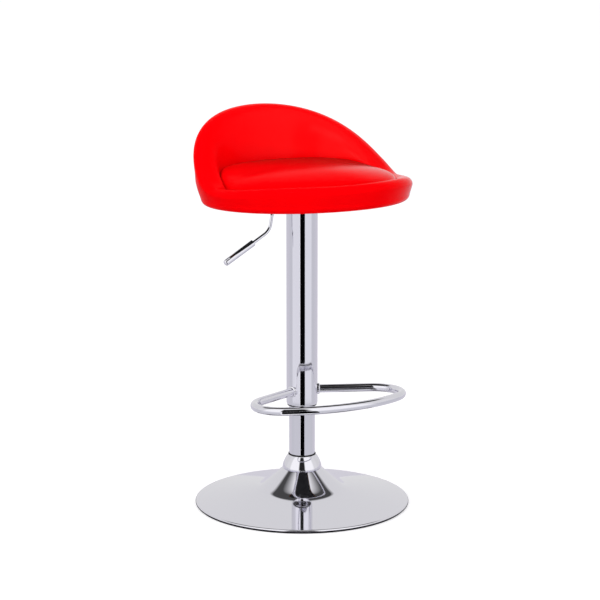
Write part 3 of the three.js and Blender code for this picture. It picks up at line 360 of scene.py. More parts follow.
# Spunbonded polypropylene dust cloth, matt black with a grid of small pressed dots, and cut
# open-cell polyurethane foam, cream and quite matt, with small pores
def makeMatt(look):
    material, tree, place = newMaterial(
        look["name"], look["colour"],
        **{"Roughness": look["roughness"], "Specular IOR Level": look["shine"]})
    tint = cloudyTint(tree, place, look["cloudSize"], look["colour"], look["otherColour"],
                      look["detail"])
    relief = fineRelief(tree, place, "TexVoronoi", look["cell"], look["depth"],
                        {"Randomness": look["disorder"]})
    return feedShader(material, {"Base Color": tint, "Normal": relief})


# Bare and plated steel: fine grinding or crystal marks, and a gloss that changes a little
def makeSteel(name, colour, roughness, grit, depth):
    material, tree, place = newMaterial(name, colour, Metallic=1.0)
    gloss = patchyGloss(tree, place, 12 * grit, 0.8 * roughness, 1.25 * roughness, 3.0)
    relief = fineRelief(tree, place, "TexNoise", grit, depth)
    return feedShader(material, {"Roughness": gloss, "Normal": relief})


# Powder coat, rubber and moulded acetal: one colour under a finely dimpled skin
def makeCoating(name, colour, roughness, grain, depth):
    material, tree, place = newMaterial(name, colour)
    relief = fineRelief(tree, place, "TexVoronoi", grain, depth, {"Smoothness": 0.8},
                        feature="SMOOTH_F1")
    gloss = patchyGloss(tree, place, 14 * grain, 0.85 * roughness, 1.15 * roughness)
    return feedShader(material, {"Roughness": gloss, "Normal": relief})


woodLook = {
    "colour": "#c79c6c",
    "darkColour": "#a97a4b",
    "ringPitch": 9,
    "stretch": (1.0, 0.12, 1.0),
    "depth": 0.05,
}


# Moulded birch plywood: pale veneer with long, faint growth lines
def makePlywood():
    look = woodLook
    material, tree, place = newMaterial("mouldedPlywood", look["colour"], Roughness=0.7)
    along = addNode(tree, "Mapping", None, {"Scale": look["stretch"]}, {"Vector": place})
    values = {"Scale": perSize(look["ringPitch"]) / (2 * pi), "Distortion": 4.0, "Detail": 3.0}
    wave = addNode(tree, "TexWave", {"bands_direction": "X"}, values, {"Vector": along})
    lines = wave.outputs["Fac"]
    ends = {"A": hexColour(look["colour"]), "B": hexColour(look["darkColour"])}
    tint = addNode(tree, "Mix", {"data_type": "RGBA"}, ends, {"Factor": lines})
    relief = addNode(tree, "Bump", None, {"Distance": look["depth"] * mm}, {"Height": lines})
    return feedShader(material, {"Base Color": tint, "Normal": relief})


slotLooks = {
    "chrome": makeChromePlate(),
    # name, colour, roughness, then width and depth of the marks in millimetres
    "steel": makeSteel("groundSteel", "#a0a3a7", 0.3, 0.6, 0.01),
    "black_steel": makeCoating("blackPowderCoat", "#1c1c1e", 0.45, 0.9, 0.06),
    "zinc_steel": makeSteel("zincPlatedSteel", "#b9bcbf", 0.34, 1.5, 0.015),
    "black_plastic": makeCoating("mouldedAcetal", "#161618", 0.4, 1.0, 0.02),
    "rubber": makeCoating("mouldedRubber", "#1b1b1b", 0.75, 1.4, 0.05),
    "red_leather": makeRedVinyl(),
    "foam": makeMatt(foamLook),
    "plywood": makePlywood(),
    "black_fabric": makeMatt(clothLook),
}
for row in frame["record"]["subparts"]:
    looks = frame["nodes"][row["node"]].data.materials
    looks.clear()
    looks.append(slotLooks[row["material_slot"]])


print("base")

dish = {
    "radius": 207.5,
    "wall": 2.0,
    "bead": 3.2,  # radius of the rolled edge
    "clearance": 1.3,
    "neckRadius": 36.0,
    "neckHeight": 71.0,
    "bore": 29.3,
    "slope": 0.185,  # rise of the shallow cone towards the neck
    "neckSlope": 0.87,  # rise of the steep cone above it
    "blend": 2.5,  # how far the rounding stands off the line where the two meet
    "rings": 72,
    "crowding": 0.8,  # closer towards the neck
    "sides": 160,
}


def flareHeight(radius):
    edge = dish["radius"] - dish["bead"]
    edgeHeight = dish["clearance"] + 2 * dish["bead"]
    shallow = edgeHeight + dish["slope"] * (edge - radius)
    steep = dish["neckHeight"] - dish["neckSlope"] * (radius - dish["neckRadius"])
    height = (shallow + steep) / 2 + hypot((shallow - steep) / 2, dish["blend"])
    return min(dish["neckHeight"], height)


def flareUnderside(radius):
    slope = flareHeight(radius) - flareHeight(radius + 1)
    return flareHeight(radius) - dish["wall"] * hypot(1, slope)


# Spun from sheet: a shallow cone and a steep neck on top, their underside, and the rolled edge
def makeBaseDish():
    edge = dish["radius"] - dish["bead"]
    inner = edge - dish["bead"]
    outline = [[dish["bore"], flareUnderside(dish["neckRadius"])]]
    for ring in range(dish["rings"], -1, -1):
        radius = inner + (dish["neckRadius"] - inner) * (ring / dish["rings"]) ** dish["crowding"]
        outline.append([radius, flareUnderside(radius)])
    outline += arc([edge, dish["clearance"] + dish["bead"]], dish["bead"], -90, 90, 12)
    for ring in range(1, dish["rings"] + 1):
        radius = edge + (dish["neckRadius"] - edge) * (ring / dish["rings"]) ** dish["crowding"]
        outline.append([radius, flareHeight(radius)])
    outline.append([dish["bore"], dish["neckHeight"]])
    piece = turnPiece("baseDish", outline, dish["sides"])
    settle(piece, "chrome", "base", "base_dish")


ringShape = {"inner": 193.3, "outer": 204.3, "step": 199.3, "flange": 1.0, "top": 5.2, "edge": 0.4}


# Extruded rubber ring with a low flange under the rolled edge
def makeFloorRing():
    s = ringShape
    top = min(s["top"], flareUnderside(s["step"]) - fit)
    outline = [
        [s["inner"], 0], [s["outer"], 0], [s["outer"], s["flange"]],
        [s["step"], s["flange"]], [s["step"], top], [s["inner"], top],
    ]
    piece = turnPiece("floorRing", outline)
    modify(piece, "BEVEL", width=s["edge"] * mm, segments=2, limit_method="ANGLE")
    settle(finishPiece(piece), "rubber", "base", "floor_ring")


collar = {
    "bore": 25.3,
    "radius": 37.9,
    "bottom": 71.3,
    "height": 25.9,
    "lip": 1.2,  # its wall where it ends at the column
    "lean": 1.6,  # how late its side leans in
    "round": 0.9,  # how it rounds over at the top
    "rings": 32,
    "crowding": 1.5,  # closer towards the top
    "edge": 0.4,
}


# Pressed cap over the socket, leaning in to the column
def makeBaseCollar():
    c = collar
    lip = c["bore"] + c["lip"]
    outline = [[c["bore"], c["bottom"]]]
    outline += arc([c["radius"] - c["edge"], c["bottom"] + c["edge"]], c["edge"], -90, 0, 4)
    for ring in range(1, c["rings"] + 1):
        share = 1 - (1 - ring / c["rings"]) ** c["crowding"]
        lean = (1 - share ** c["lean"]) ** c["round"]
        outline.append([lip + (c["radius"] - lip) * lean, c["bottom"] + c["height"] * share])
    outline.append([c["bore"], c["bottom"] + c["height"]])
    settle(turnPiece("baseCollar", outline), "chrome", "base", "base_collar")


tube = {
    "radius": 25.0,
    "wall": 1.5,
    "bottom": 16.0,
    "top": 410.0,
    "floor": 3.0,
    "hole": 5.4,
    "edge": 0.5,
}


# Drawn column tube, closed at its foot round the piston rod
def makeOuterTube():
    t = tube
    bore = t["radius"] - t["wall"]
    bottom = t["bottom"]
    outline = [[t["hole"], bottom], [t["radius"] - t["edge"], bottom],
               [t["radius"], bottom + t["edge"]], [t["radius"], bottom + 3 * t["edge"]],
               [t["radius"], t["top"] - 3 * t["edge"]]]
    outline += arc([t["radius"] - t["edge"], t["top"] - t["edge"]], t["edge"], 0, 90, 4)
    outline += [[bore, t["top"]], [bore, bottom + t["floor"]], [t["hole"], bottom + t["floor"]]]
    settle(turnPiece("outerTube", outline), "chrome", "base", "outer_tube")


makeBaseDish()
makeFloorRing()
makeBaseCollar()
makeOuterTube()


print("sleeve and foot loop")

sleeveTube = {
    "radius": 30.0,
    "wall": 1.2,
    "bottom": 199.0,
    "top": 579.0,
    "edge": 0.6,
    "rollIn": 4.5,
}


# Seamless drawn sleeve, its lower edge rolled in towards the column
def makeSleeve():
    s = sleeveTube
    bore = s["radius"] - s["wall"]
    outline = [[bore, s["bottom"] + s["edge"]]]
    for step in range(11):
        turn = radians(90 * step / 10)
        outline.append([bore + 0.1 + (s["wall"] - 0.1) * sin(turn),
                        s["bottom"] + s["rollIn"] * (1 - cos(turn))])
    outline += [[s["radius"], s["bottom"] + s["rollIn"] + 1],
                [s["radius"], s["top"] - 2 * s["edge"]]]
    outline += arc([s["radius"] - s["edge"], s["top"] - s["edge"]], s["edge"], 0, 90, 4)
    outline.append([bore, s["top"]])
    settle(turnPiece("sleeveTube", outline), "chrome", "lift", "sleeve")


seals = [
    # name, body, inner and outer radius, bottom, height
    # the collar's ring is a seal and also painted shade, the dark line where the collar meets the
    # column
    ("columnSealAndShadeLine", "base", 25.1, 26.4, 97.3, 2.3),
    ("sleeveWiper", "lift", 25.1, 28.4, 196.3, 2.6),
]


# Thin rubber rings round the column, one on the collar's lip and one under the sleeve's mouth; the
# collar's ring also paints the shade line where collar meets column
def makeSeals():
    edge = 0.3
    for name, body, inner, outer, bottom, height in seals:
        top = bottom + height
        outline = [[inner, bottom], [outer - edge, bottom], [outer, bottom + edge],
                   [outer, top - edge], [outer - edge, top], [inner, top]]
        settle(turnPiece(name, outline, 96), "rubber", body)


loop = {
    "tubeRadius": 8.0,
    "height": 226.8,  # of the centreline at the column's axis
    "tilt": 0.05,
    "reach": 194.0,
    "frontRadius": 250.0,
    "cornerRadius": 60.0,
    "frontAngle": 28.0,
    "cornerAngle": 153.0,
    "collarRadius": 10.8,
    "collarLength": 4.0,
    "weld": 1.6,
    "cope": 60.0,
}


def onLoopPlane(out, forward):
    return Vector((out, -forward, loop["height"] + loop["tilt"] * forward))


# One half of the loop's flat centreline, [out, forward], from the front's middle to the column
def halfLoop():
    s = loop
    middle = [0, s["reach"] - s["frontRadius"]]
    points = arc(middle, s["frontRadius"], 90, 90 - s["frontAngle"], 24)
    front = radians(s["frontAngle"])
    inward = s["frontRadius"] - s["cornerRadius"]
    turning = [inward * sin(front), middle[1] + inward * cos(front)]
    points += arc(turning, s["cornerRadius"], 90 - s["frontAngle"], 90 - s["cornerAngle"], 48)[1:]
    corner = radians(s["cornerAngle"])
    away = Vector((-cos(corner), sin(corner)))
    end = Vector(points[-1])
    start = end + away * (tube["radius"] - end.dot(away))
    for step in range(1, 13):
        points.append(list(end.lerp(start, step / 12)))
    return points, start, away


# Cuts a piece's end to the round of the sleeve
def copeToSleeve(piece):
    s = loop
    drill(piece, sleeveTube["radius"] - 0.1, s["height"] - s["cope"], s["height"] + s["cope"], 128)


# Round tube bent in one piece, its two legs coped to the sleeve
def makeFootLoop():
    points = halfLoop()[0]
    left = [onLoopPlane(out, forward) for out, forward in points]
    right = [onLoopPlane(-out, forward) for out, forward in points[1:]]
    piece = bendBar("footLoop", left[::-1] + right, loop["tubeRadius"], 8)
    copeToSleeve(piece)
    settle(finishPiece(piece), "chrome", "lift", "footrest_loop")


# Weld ring where a leg meets the sleeve; side is 1 for the sitter's left
def makeLoopCollar(side, name, node):
    _, start, away = halfLoop()
    fromPlace = onLoopPlane(side * start.x, start.y)
    way = (onLoopPlane(side * (start.x + away.x), start.y + away.y) - fromPlace).normalized()
    length = sleeveTube["radius"] - tube["radius"] + loop["collarLength"]
    inner = loop["tubeRadius"] + 0.05
    outer = loop["collarRadius"]
    outline = [[inner, 0], [outer, 0], [outer, length - loop["weld"]]]
    outline += arc([outer - loop["weld"], length - loop["weld"]], loop["weld"], 0, 80, 6)
    outline += [[inner + 0.5, length + 0.3], [inner, length + 0.6]]
    piece = turnPiece(name, outline, 64)
    piece.matrix_world = standAlong(fromPlace, way)
    finishPiece(piece)
    copeToSleeve(piece)
    settle(finishPiece(piece), "chrome", "lift", node)


makeSleeve()
makeSeals()
makeFootLoop()
makeLoopCollar(1, "weldRingLeft", "footrest_collar_left")
makeLoopCollar(-1, "weldRingRight", "footrest_collar_right")


print("height lever")

lever = {
    "radius": 3.2,
    "height": 583.1,
    "corners": ((5.0, 0), (-62.0, 0), (-69.0, -39.7), (-163.4, -95.0)),  # X, and Z from its height
    "bend": 13.0,
    "pivotOut": 17.0,
    "pinHole": 1.8,
    "gripRadius": 6.3,
    "gripLength": 70.0,
    "gripEndWall": 4.0,
    "gripRound": 5.0,
    "shoulder": 1.0,
}


# The frame of the lever's pin: at its place, along Y
pinPlace = Matrix.Translation(Vector((-lever["pivotOut"], 0, lever["height"])) * mm) \
    @ Matrix.Rotation(radians(90), 4, "X")


def leverCorners():
    return [Vector((x, 0, lever["height"] + z)) for x, z in lever["corners"]]


# Bright bar bent twice, with soft bends
def makeLeverRod():
    corners = leverCorners()
    outward = (corners[3] - corners[2]).normalized()
    corners[3] -= outward * (lever["gripEndWall"] + fit)
    points = [corners[0]]
    for before, corner, after in zip(corners, corners[1:], corners[2:]):
        start = corner + (before - corner).normalized() * lever["bend"]
        end = corner + (after - corner).normalized() * lever["bend"]
        for step in range(17):
            t = step / 16
            points.append(start * (1 - t) ** 2 + corner * 2 * t * (1 - t) + end * t ** 2)
    points.append(corners[3])
    piece = bendBar("leverRod", points, lever["radius"], 5)
    drill(piece, lever["pinHole"], -12, 12, place=pinPlace)
    settle(finishPiece(piece), "chrome", "lever", "lever_rod")


# Turned and plated grip, blind bored, with a small shoulder and a rounded end
def makeLeverGrip():
    g = lever
    bore = g["radius"] + 0.1
    blind = g["gripLength"] - g["gripEndWall"]
    outline = [[0.4, blind], [bore, blind], [bore, 0]]
    outline += arc([g["gripRadius"] - g["shoulder"], g["shoulder"]], g["shoulder"], -90, 0, 5)
    outline += arc([g["gripRadius"] - g["gripRound"], g["gripLength"] - g["gripRound"]],
                   g["gripRound"], 0, 85, 10)
    piece = turnPiece("leverGrip", outline, 48, False)
    corners = leverCorners()
    outward = (corners[3] - corners[2]).normalized()
    start = corners[3] - outward * g["gripLength"]
    piece.matrix_world = standAlong(start, outward)
    settle(finishPiece(piece), "chrome", "lever", "lever_grip")


makeLeverRod()
makeLeverGrip()


print("seat")

bucket = {
    "height": 595.0,  # of the underside at the column's axis
    "rake": 3.6,  # degrees, tipped back
    "halfWidth": 205.5,
    "halfDepth": 208.0,
    "shift": -14.0,  # of the seat's middle from the column's axis
    "square": 2.05,  # power of the plan's superellipse
    "foot": 0.955,
    "corner": 12.5,
    "spread": 42.0,
    "leanFrom": 60.0,
    "lean": 0.083,
    "rimSide": 40.5,
    "rimBack": 175.0,
    "rimFront": 48.5,
    "sideAt": 96 / 180,
    "frontAt": 150 / 180,
    "lateRim": 0.31,
    "rimRound": 14.0,
    "skin": 1.6,
    "lip": 26.0,
    "floor": 14.5,
    "creaseFront": 37.0,
    "creaseBack": 70.0,
    "creaseAt": 100 / 180,
    "lateCrease": 0.8,
    "insetFront": 33.5,
    "insetBack": 49.0,
    "insetAt": 118 / 180,
    "leastRoll": 6.0,  # how far the rim always stands over the crease
    "sides": 192,
}
seatTilt = Matrix.Translation((0, 0, bucket["height"] * mm)) \
    @ Matrix.Rotation(radians(-bucket["rake"]), 4, "X")


def planRadius(angle):
    across = abs(sin(angle) / bucket["halfWidth"]) ** bucket["square"]
    along = abs(cos(angle) / bucket["halfDepth"]) ** bucket["square"]
    return (across + along) ** (-1 / bucket["square"])


# The angle from the back, as a share of the half turn
def fromBack(angle):
    return min(angle, 2 * pi - angle) / pi


# A soft fall from 1 to 0, late by a share of its way
def fall(share, late):
    place = min(max(share, 0), 1)
    return (1 + cos(place * (1 - late + late * place ** 2) * pi)) / 2


def rimHeight(angle):
    b = bucket
    back = fall(fromBack(angle) / b["sideAt"], b["lateRim"])
    rise = 1 - fall((fromBack(angle) - b["sideAt"]) / (b["frontAt"] - b["sideAt"]), 0)
    side = b["rimSide"]
    return side + (b["rimBack"] - side) * back + (b["rimFront"] - side) * rise


def creaseHeight(angle):
    b = bucket
    back = fall(fromBack(angle) / b["creaseAt"], b["lateCrease"])
    return b["creaseFront"] + (b["creaseBack"] - b["creaseFront"]) * back


# From the plan in to the crease between the wall and the pad
def creaseRadius(angle):
    b = bucket
    back = fall(fromBack(angle) / b["insetAt"], b["lateCrease"])
    return planRadius(angle) - b["insetFront"] - (b["insetBack"] - b["insetFront"]) * back


def wallRadius(angle, height):
    b = bucket
    share = min(max((height - b["corner"]) / b["spread"], 0), 1)
    spread = b["foot"] + (1 - b["foot"]) * sin(share * pi / 2)
    return planRadius(angle) * spread + b["lean"] * max(height - b["leanFrom"], 0)


# Evenly spaced points along a line, with its ends kept
def evenly(points, count):
    lengths = [0.0]
    for a, b in zip(points, points[1:]):
        lengths.append(lengths[-1] + dist(a, b))
    result = []
    place = 0
    for step in range(count + 1):
        want = lengths[-1] * step / count
        while place < len(lengths) - 2 and lengths[place + 1] < want:
            place += 1
        span = lengths[place + 1] - lengths[place]
        share = (want - lengths[place]) / span if span else 0
        a, b = points[place], points[place + 1]
        result.append([a[0] + (b[0] - a[0]) * share, a[1] + (b[1] - a[1]) * share])
    return result


def soften(points, passes):
    for _ in range(passes):
        middle = [[(a[0] + 2 * b[0] + c[0]) / 4, (a[1] + 2 * b[1] + c[1]) / 4]
                  for a, b, c in zip(points, points[1:], points[2:])]
        points = [points[0], *middle, points[-1]]
    return points


# The skin's outline at an angle from the back: turned-in lip, bottom corner, wall, rolled rim,
# inner wall
def skinOutline(angle):
    b = bucket
    foot = planRadius(angle) * b["foot"] - b["corner"]
    top = rimHeight(angle) - b["rimRound"]
    points = [[foot - b["lip"], 0], [foot - b["lip"] / 2, 0]]
    points += arc([foot, b["corner"]], b["corner"], -90, 0, 8)
    for step in range(1, 25):
        height = b["corner"] + (top - b["corner"]) * step / 24
        points.append([wallRadius(angle, height), height])
    centre = wallRadius(angle, top) - b["rimRound"]
    points += arc([centre, top], b["rimRound"], 8, 90, 8)
    seam = creaseRadius(angle) + fit
    seamHeight = min(creaseHeight(angle), rimHeight(angle) - b["leastRoll"])
    for step in range(1, 25):  # the padded inner side, a quarter of an ellipse down to the crease
        turn = radians(90 * step / 24)
        radius = centre + (seam - centre) * sin(turn)
        points.append([radius, seamHeight + (rimHeight(angle) - seamHeight) * cos(turn)])
    points += [[seam, seamHeight + (b["floor"] - seamHeight) * step / 6] for step in range(1, 7)]
    return soften(evenly(points, 96), 2)


# A point round the seat's middle, in metres
def onSeat(angle, radius, height):
    return Vector((radius * sin(angle), bucket["shift"] + radius * cos(angle), height)) * mm


# Rings of points round the seat's middle, joined into a skin in mesh code
def ringMesh(name, outlineAt, sides):
    mesh = bpy.data.meshes.new(name)
    build = bmesh.new()
    rings = []
    for side in range(sides):
        angle = 2 * pi * side / sides
        rings.append([build.verts.new(onSeat(angle, radius, height))
                      for radius, height in outlineAt(angle)])
    for ring, after in zip(rings, rings[1:] + rings[:1]):
        for a, b, c, d in zip(ring, ring[1:], after[1:], after):
            build.faces.new((a, b, c, d))
    build.to_mesh(mesh)
    build.free()
    return newObject(name, mesh)


# Stretched skin over the bucket and its foam, with its own thickness
def makeBucketCover():
    piece = ringMesh("bucketCover", skinOutline, bucket["sides"])
    modify(piece, "SOLIDIFY", thickness=bucket["skin"] * mm, offset=-1.0)
    piece.matrix_world = seatTilt
    finishPiece(piece, 60, outwards=False)
    piece.visible_glossy = False
    settle(piece, "red_leather", "lift", "shell_cover", "shell_foam")


cushion = {
    "crown": 72.0,
    "bottom": 14.6,
    "drawIn": 6.0,
    "tuck": 4.0,
    "roundPower": 3.2,
    "swellPower": 0.5,
    "voxel": 5.0,
    "frames": 20,
    "freeFrom": 0.97,  # where the skin begins to be free, in shares of the crease's radius
    "freeOver": 0.07,
    "freeDown": 2.0,  # how far below the crease it is free
    "cap": 5.0,
    "slack": 2.5,  # how far the crown starts below its place
    "sides": 128,
}
stretch = {
    "use_pressure": True,
    "uniform_pressure_force": 4.0,
    "vertex_group_mass": "held",
    "tension_stiffness": 30,
    "bending_stiffness": 8,
}


def cushionOutline(angle, crownDrop):
    c = cushion
    radius = creaseRadius(angle)
    crease = creaseHeight(angle)
    rise = c["crown"] - crownDrop - crease
    points = []
    for step in range(1, 41):
        share = sin(step / 40 * pi / 2)
        height = crease + rise * (1 - share ** c["roundPower"]) ** c["swellPower"]
        points.append([radius * share, height])
    foot = radius - c["drawIn"]
    drop = crease - c["bottom"]
    points += [[radius - c["drawIn"] * share, crease - drop * share]
               for share in (0.2, 0.45, 0.7, 0.9)]
    points.append([foot - c["tuck"], c["bottom"]])
    points = soften(evenly(points, 60), 1)
    foot -= c["tuck"]
    return points + [[foot * share, c["bottom"]] for share in (0.85, 0.6, 0.3, 0.02)]


# Foam pad under its skin: remeshed, blown up by cloth simulation, then smoothed
def makeSeatPad():
    c = cushion
    drop = c["slack"]
    piece = ringMesh("seatPad", lambda angle: cushionOutline(angle, drop), c["sides"])
    closeSkin(piece)
    blowUp(piece)
    modify(piece, "SUBSURF", levels=1, render_levels=1)
    piece.matrix_world = seatTilt
    finishPiece(piece, 60)
    piece.visible_glossy = False
    settle(piece, "red_leather", "lift", "pad_cover", "pad_foam")


# The skin is held round its crease and below, and the crown is free to swell up to the cap
def blowUp(piece):
    c = cushion
    modify(piece, "REMESH", mode="VOXEL", voxel_size=c["voxel"] * mm)
    modify(piece, "SMOOTH", factor=0.5, iterations=6)
    before = [vertex.co.copy() for vertex in piece.data.vertices]
    held = piece.vertex_groups.new(name="held")
    for vertex in piece.data.vertices:
        x, y, height = vertex.co / mm
        y -= bucket["shift"]
        angle = atan2(x, y) % (2 * pi)
        edge = hypot(x, y) / creaseRadius(angle)
        inside = min(max((c["freeFrom"] - edge) / c["freeOver"], 0), 1)
        above = 1.0 if height > creaseHeight(angle) - c["freeDown"] else 0.0
        held.add([vertex.index], 1 - inside * above, "REPLACE")
    makeActive(piece)
    bpy.ops.object.modifier_add(type="CLOTH")
    cloth = piece.modifiers[-1]
    cloth.settings.effector_weights.gravity = 0
    for key, value in stretch.items():
        setattr(cloth.settings, key, value)
    cloth.point_cache.frame_end = c["frames"]
    for number in range(1, c["frames"] + 1):
        bpy.context.scene.frame_set(number)
    bpy.ops.object.modifier_apply(modifier=cloth.name)
    bpy.context.scene.frame_set(1)
    for vertex, old in zip(piece.data.vertices, before):
        move = vertex.co - old
        if move.length > c["cap"] * mm:
            vertex.co = old + move * (c["cap"] * mm / move.length)
    modify(piece, "SMOOTH", factor=0.5, iterations=4)
    piece.vertex_groups.clear()


makeBucketCover()
makeSeatPad()


print("underside")

dustSheet = {"top": -0.3, "thick": 0.8, "edge": 0.5, "ripple": 0.12, "ripples": 9}


# Radius of the dust cloth, in the middle of the skin's turned-in lip
def sheetRadius(angle):
    return planRadius(angle) * bucket["foot"] - bucket["corner"] - bucket["lip"] / 2


def sheetOutline(angle):
    radius = sheetRadius(angle)
    d = dustSheet
    ripple = d["ripple"] * sin(d["ripples"] * angle)
    under = [[radius * share, d["top"] - d["thick"] + ripple * share ** 4]
             for share in (0.05, 0.2, 0.4, 0.6, 0.8, 0.93, 0.99)]
    return [*under, [radius, d["top"] - d["edge"]], [radius * 0.99, d["top"]],
            [radius * 0.05, d["top"]]]


# Dust cloth stapled under the bucket: almost flat, its edge rippled a little by the staples
def makeUndersideCover():
    piece = ringMesh("undersideCover", sheetOutline, 96)
    closeSkin(piece)
    piece.matrix_world = seatTilt
    settle(finishPiece(piece, 40), "black_fabric", "lift", "underside_cover")


staple = {
    "count": 44,
    "size": (10.0, 0.9, 0.6),
    "edge": 0.2,
    "inset": 4.0,
    "height": -1.3,
    "askew": 12,  # degrees, at most
}


# Upholstery staples along the dust cloth's edge: one is modelled, and copied round
def makeStaples():
    s = staple
    first = makeBlock("staples", s["size"])
    modify(first, "BEVEL", width=s["edge"] * mm, segments=1)
    copies = [first] + [newObject("staple", first.data.copy()) for _ in range(s["count"] - 1)]
    for number, copy in enumerate(copies):
        angle = 2 * pi * (number + 0.5) / s["count"]
        askew = radians(s["askew"] * sin(7 * number))
        place = onSeat(angle, sheetRadius(angle) - s["inset"], s["height"])
        turn = Matrix.Rotation(-angle + askew, 4, "Z")
        copy.matrix_world = seatTilt @ Matrix.Translation(place) @ turn
    makeActive(first)
    for copy in copies:
        copy.select_set(True)
    bpy.ops.object.join()
    settle(finishPiece(first), "zinc_steel", "lift")


plate = {
    "width": 150.0,
    "corner": 15.0,
    "bottom": -3.9,
    "thick": 2.5,
    "bolts": 120.0,  # from bolt to bolt
    "hole": 3.4,
    "edge": 0.4,
}


def boltPlaces():
    half = plate["bolts"] / 2 * mm
    return [Matrix.Translation((x * half, y * half, 0))
            for x, y in ((1, 1), (-1, 1), (-1, -1), (1, -1))]


# Cut mounting plate: rounded corners, eased edges, four bolt holes
def makeSeatPlate():
    p = plate
    deselectAll()
    bpy.ops.mesh.primitive_plane_add(size=p["width"] * mm, location=(0, 0, p["bottom"] * mm))
    piece = nameIt(bpy.context.object, "seatPlate")
    editAll(piece)
    bpy.ops.mesh.bevel(offset=p["corner"] * mm, segments=8, affect="VERTICES")
    bpy.ops.mesh.select_all(action="SELECT")
    bpy.ops.mesh.extrude_region_move(TRANSFORM_OT_translate={"value": (0, 0, p["thick"] * mm)})
    finishPiece(piece)
    modify(piece, "BEVEL", width=p["edge"] * mm, segments=2, limit_method="ANGLE")
    for place in boltPlaces():
        drill(piece, p["hole"], p["bottom"] - 5, 5, place=place)
    piece.matrix_world = seatTilt
    settle(finishPiece(piece), "black_steel", "lift", "seat_plate")


bolt = {
    "head": 5.5,
    "height": 3.5,
    "side": 0.8,  # height of the head's straight side
    "shank": 3.0,
    "top": 14.1,
    "socket": 2.5,
    "depth": 2.0,
}


# Button-head bolts with a hexagon socket: one is modelled, and copied to its three other places
def makeSeatBolts():
    b = bolt
    under = plate["bottom"] - fit
    mouth = under - b["height"]
    outline = [[b["shank"], b["top"]], [b["shank"], under], [b["head"], under],
               [b["head"], under - b["side"]]]
    for turn in (15, 30, 45, 60):
        drop = b["side"] + (b["height"] - b["side"]) * sin(radians(turn))
        outline.append([b["head"] * cos(radians(turn)), under - drop])
    outline.append([b["head"] * 0.42, mouth])
    first = turnPiece("seatBolt1", outline, 32, False)
    drill(first, b["socket"], mouth - 2, mouth + b["depth"], 6)
    shape = first.data.copy()
    for number, place in enumerate(boltPlaces(), 1):
        piece = first if number == 1 else newObject(f"seatBolt{number}", shape.copy())
        piece.matrix_world = seatTilt @ place
        settle(finishPiece(piece, 30), "zinc_steel", "lift", f"seat_bolt_{number}")


bracket = {
    "length": 44.0,
    "width": 32.0,
    "thick": 2.5,
    "bottom": 572.6,
    "top": 589.96,
    "bend": 3.0,
    "hubHole": 6.0,
    "edge": 0.3,
}


# Folded channel that carries the lever: a web on the hub and two upright ears
def makeLeverBracket():
    b = bracket
    size = (b["length"], b["width"], b["top"] - b["bottom"])
    piece = makeBlock("leverBracket", size, (b["bottom"] + b["top"]) / 2)
    editAll(piece)
    bpy.ops.mesh.select_all(action="DESELECT")
    bpy.ops.object.mode_set(mode="OBJECT")
    for edge in piece.data.edges:
        ends = [piece.data.vertices[v].co for v in edge.vertices]
        along = abs(ends[0].y - ends[1].y) < 1e-6 and abs(ends[0].z - ends[1].z) < 1e-6
        edge.select = along and ends[0].z < (b["bottom"] + 1) * mm
    for vertex in piece.data.vertices:
        vertex.select = any(e.select and vertex.index in e.vertices for e in piece.data.edges)
    bpy.ops.object.mode_set(mode="EDIT")
    bpy.ops.mesh.select_mode(type="EDGE")
    bpy.ops.mesh.bevel(offset=b["bend"] * mm, segments=5)
    bpy.ops.mesh.select_mode(type="VERT")
    finishPiece(piece)
    inside = (b["length"] + 10, b["width"] - 2 * b["thick"], 40)
    cutAway(piece, makeBlock("cutter", inside, b["bottom"] + b["thick"] + 20))
    drill(piece, b["hubHole"], b["bottom"] - 5, b["bottom"] + 8, 48)
    drill(piece, lever["pinHole"], -30, 30, place=pinPlace)
    modify(piece, "BEVEL", width=b["edge"] * mm, segments=2, limit_method="ANGLE",
           angle_limit=radians(50))
    settle(finishPiece(piece), "black_steel", "lift", "lever_bracket")


pin = {
    # radius, and how far out from the bracket's ears
    "head": ((2.2, 1.5), (3.0, 1.2), (3.4, 0.6), (3.4, 0), (1.5, 0)),
    "end": ((1.5, 0.9), (1.3, 1.4)),
}


# Headed pivot pin, peened over at its far end
def makePivotPin():
    half = bracket["width"] / 2 + fit
    outline = [[radius, -half - out] for radius, out in pin["head"]]
    outline += [[radius, half + out] for radius, out in pin["end"]]
    piece = turnPiece("pivotPin", outline, 32, False)
    piece.matrix_world = pinPlace
    settle(finishPiece(piece), "zinc_steel", "lift", "lever_pivot_pin")


makeUndersideCover()
makeStaples()
makeSeatPlate()
makeSeatBolts()
makeLeverBracket()
makePivotPin()


print("floor, light and camera")

studio = {
    "floorSize": 40.0,
    "floorGrey": "#cdcdcd",
    "floorGlow": 0.52,
    "skyForSkin": 0.86,
    "skyTint": "#fbfaff",
    "frontCeiling": 0.9,  # brightness in reflections
    "backCeiling": 0.07,
    "frontStart": 0.86,  # height of the ceiling's edge: it starts higher in front than behind
    "backStart": 0.68,
    "startBlend": 0.07,
    "turnFrom": 0.35,  # where the ceiling turns from back to front, as in roomStops
    "turnTo": 0.6,
    "aim": 0.55,  # height that the lamps point at, in metres
    "view": 27.0,  # the camera's place round the stool, in degrees
}
roomStops = [
    # place from behind the stool (0) to the camera's side (1), brightness in reflections
    (0.0, 0.8), (0.35, 0.8), (0.42, 0.86), (0.6, 0.86),
    (0.68, 1.15), (0.968, 1.15), (0.984, 0.02), (1.0, 0.02),
]


# Camera and glossy rays get one look, and the light on surfaces another
def seenRays(tree):
    path = addNode(tree, "LightPath").outputs
    rays = {0: path["Is Camera Ray"], 1: path["Is Glossy Ray"]}
    return addNode(tree, "Math", {"operation": "MAXIMUM"}, None, rays)


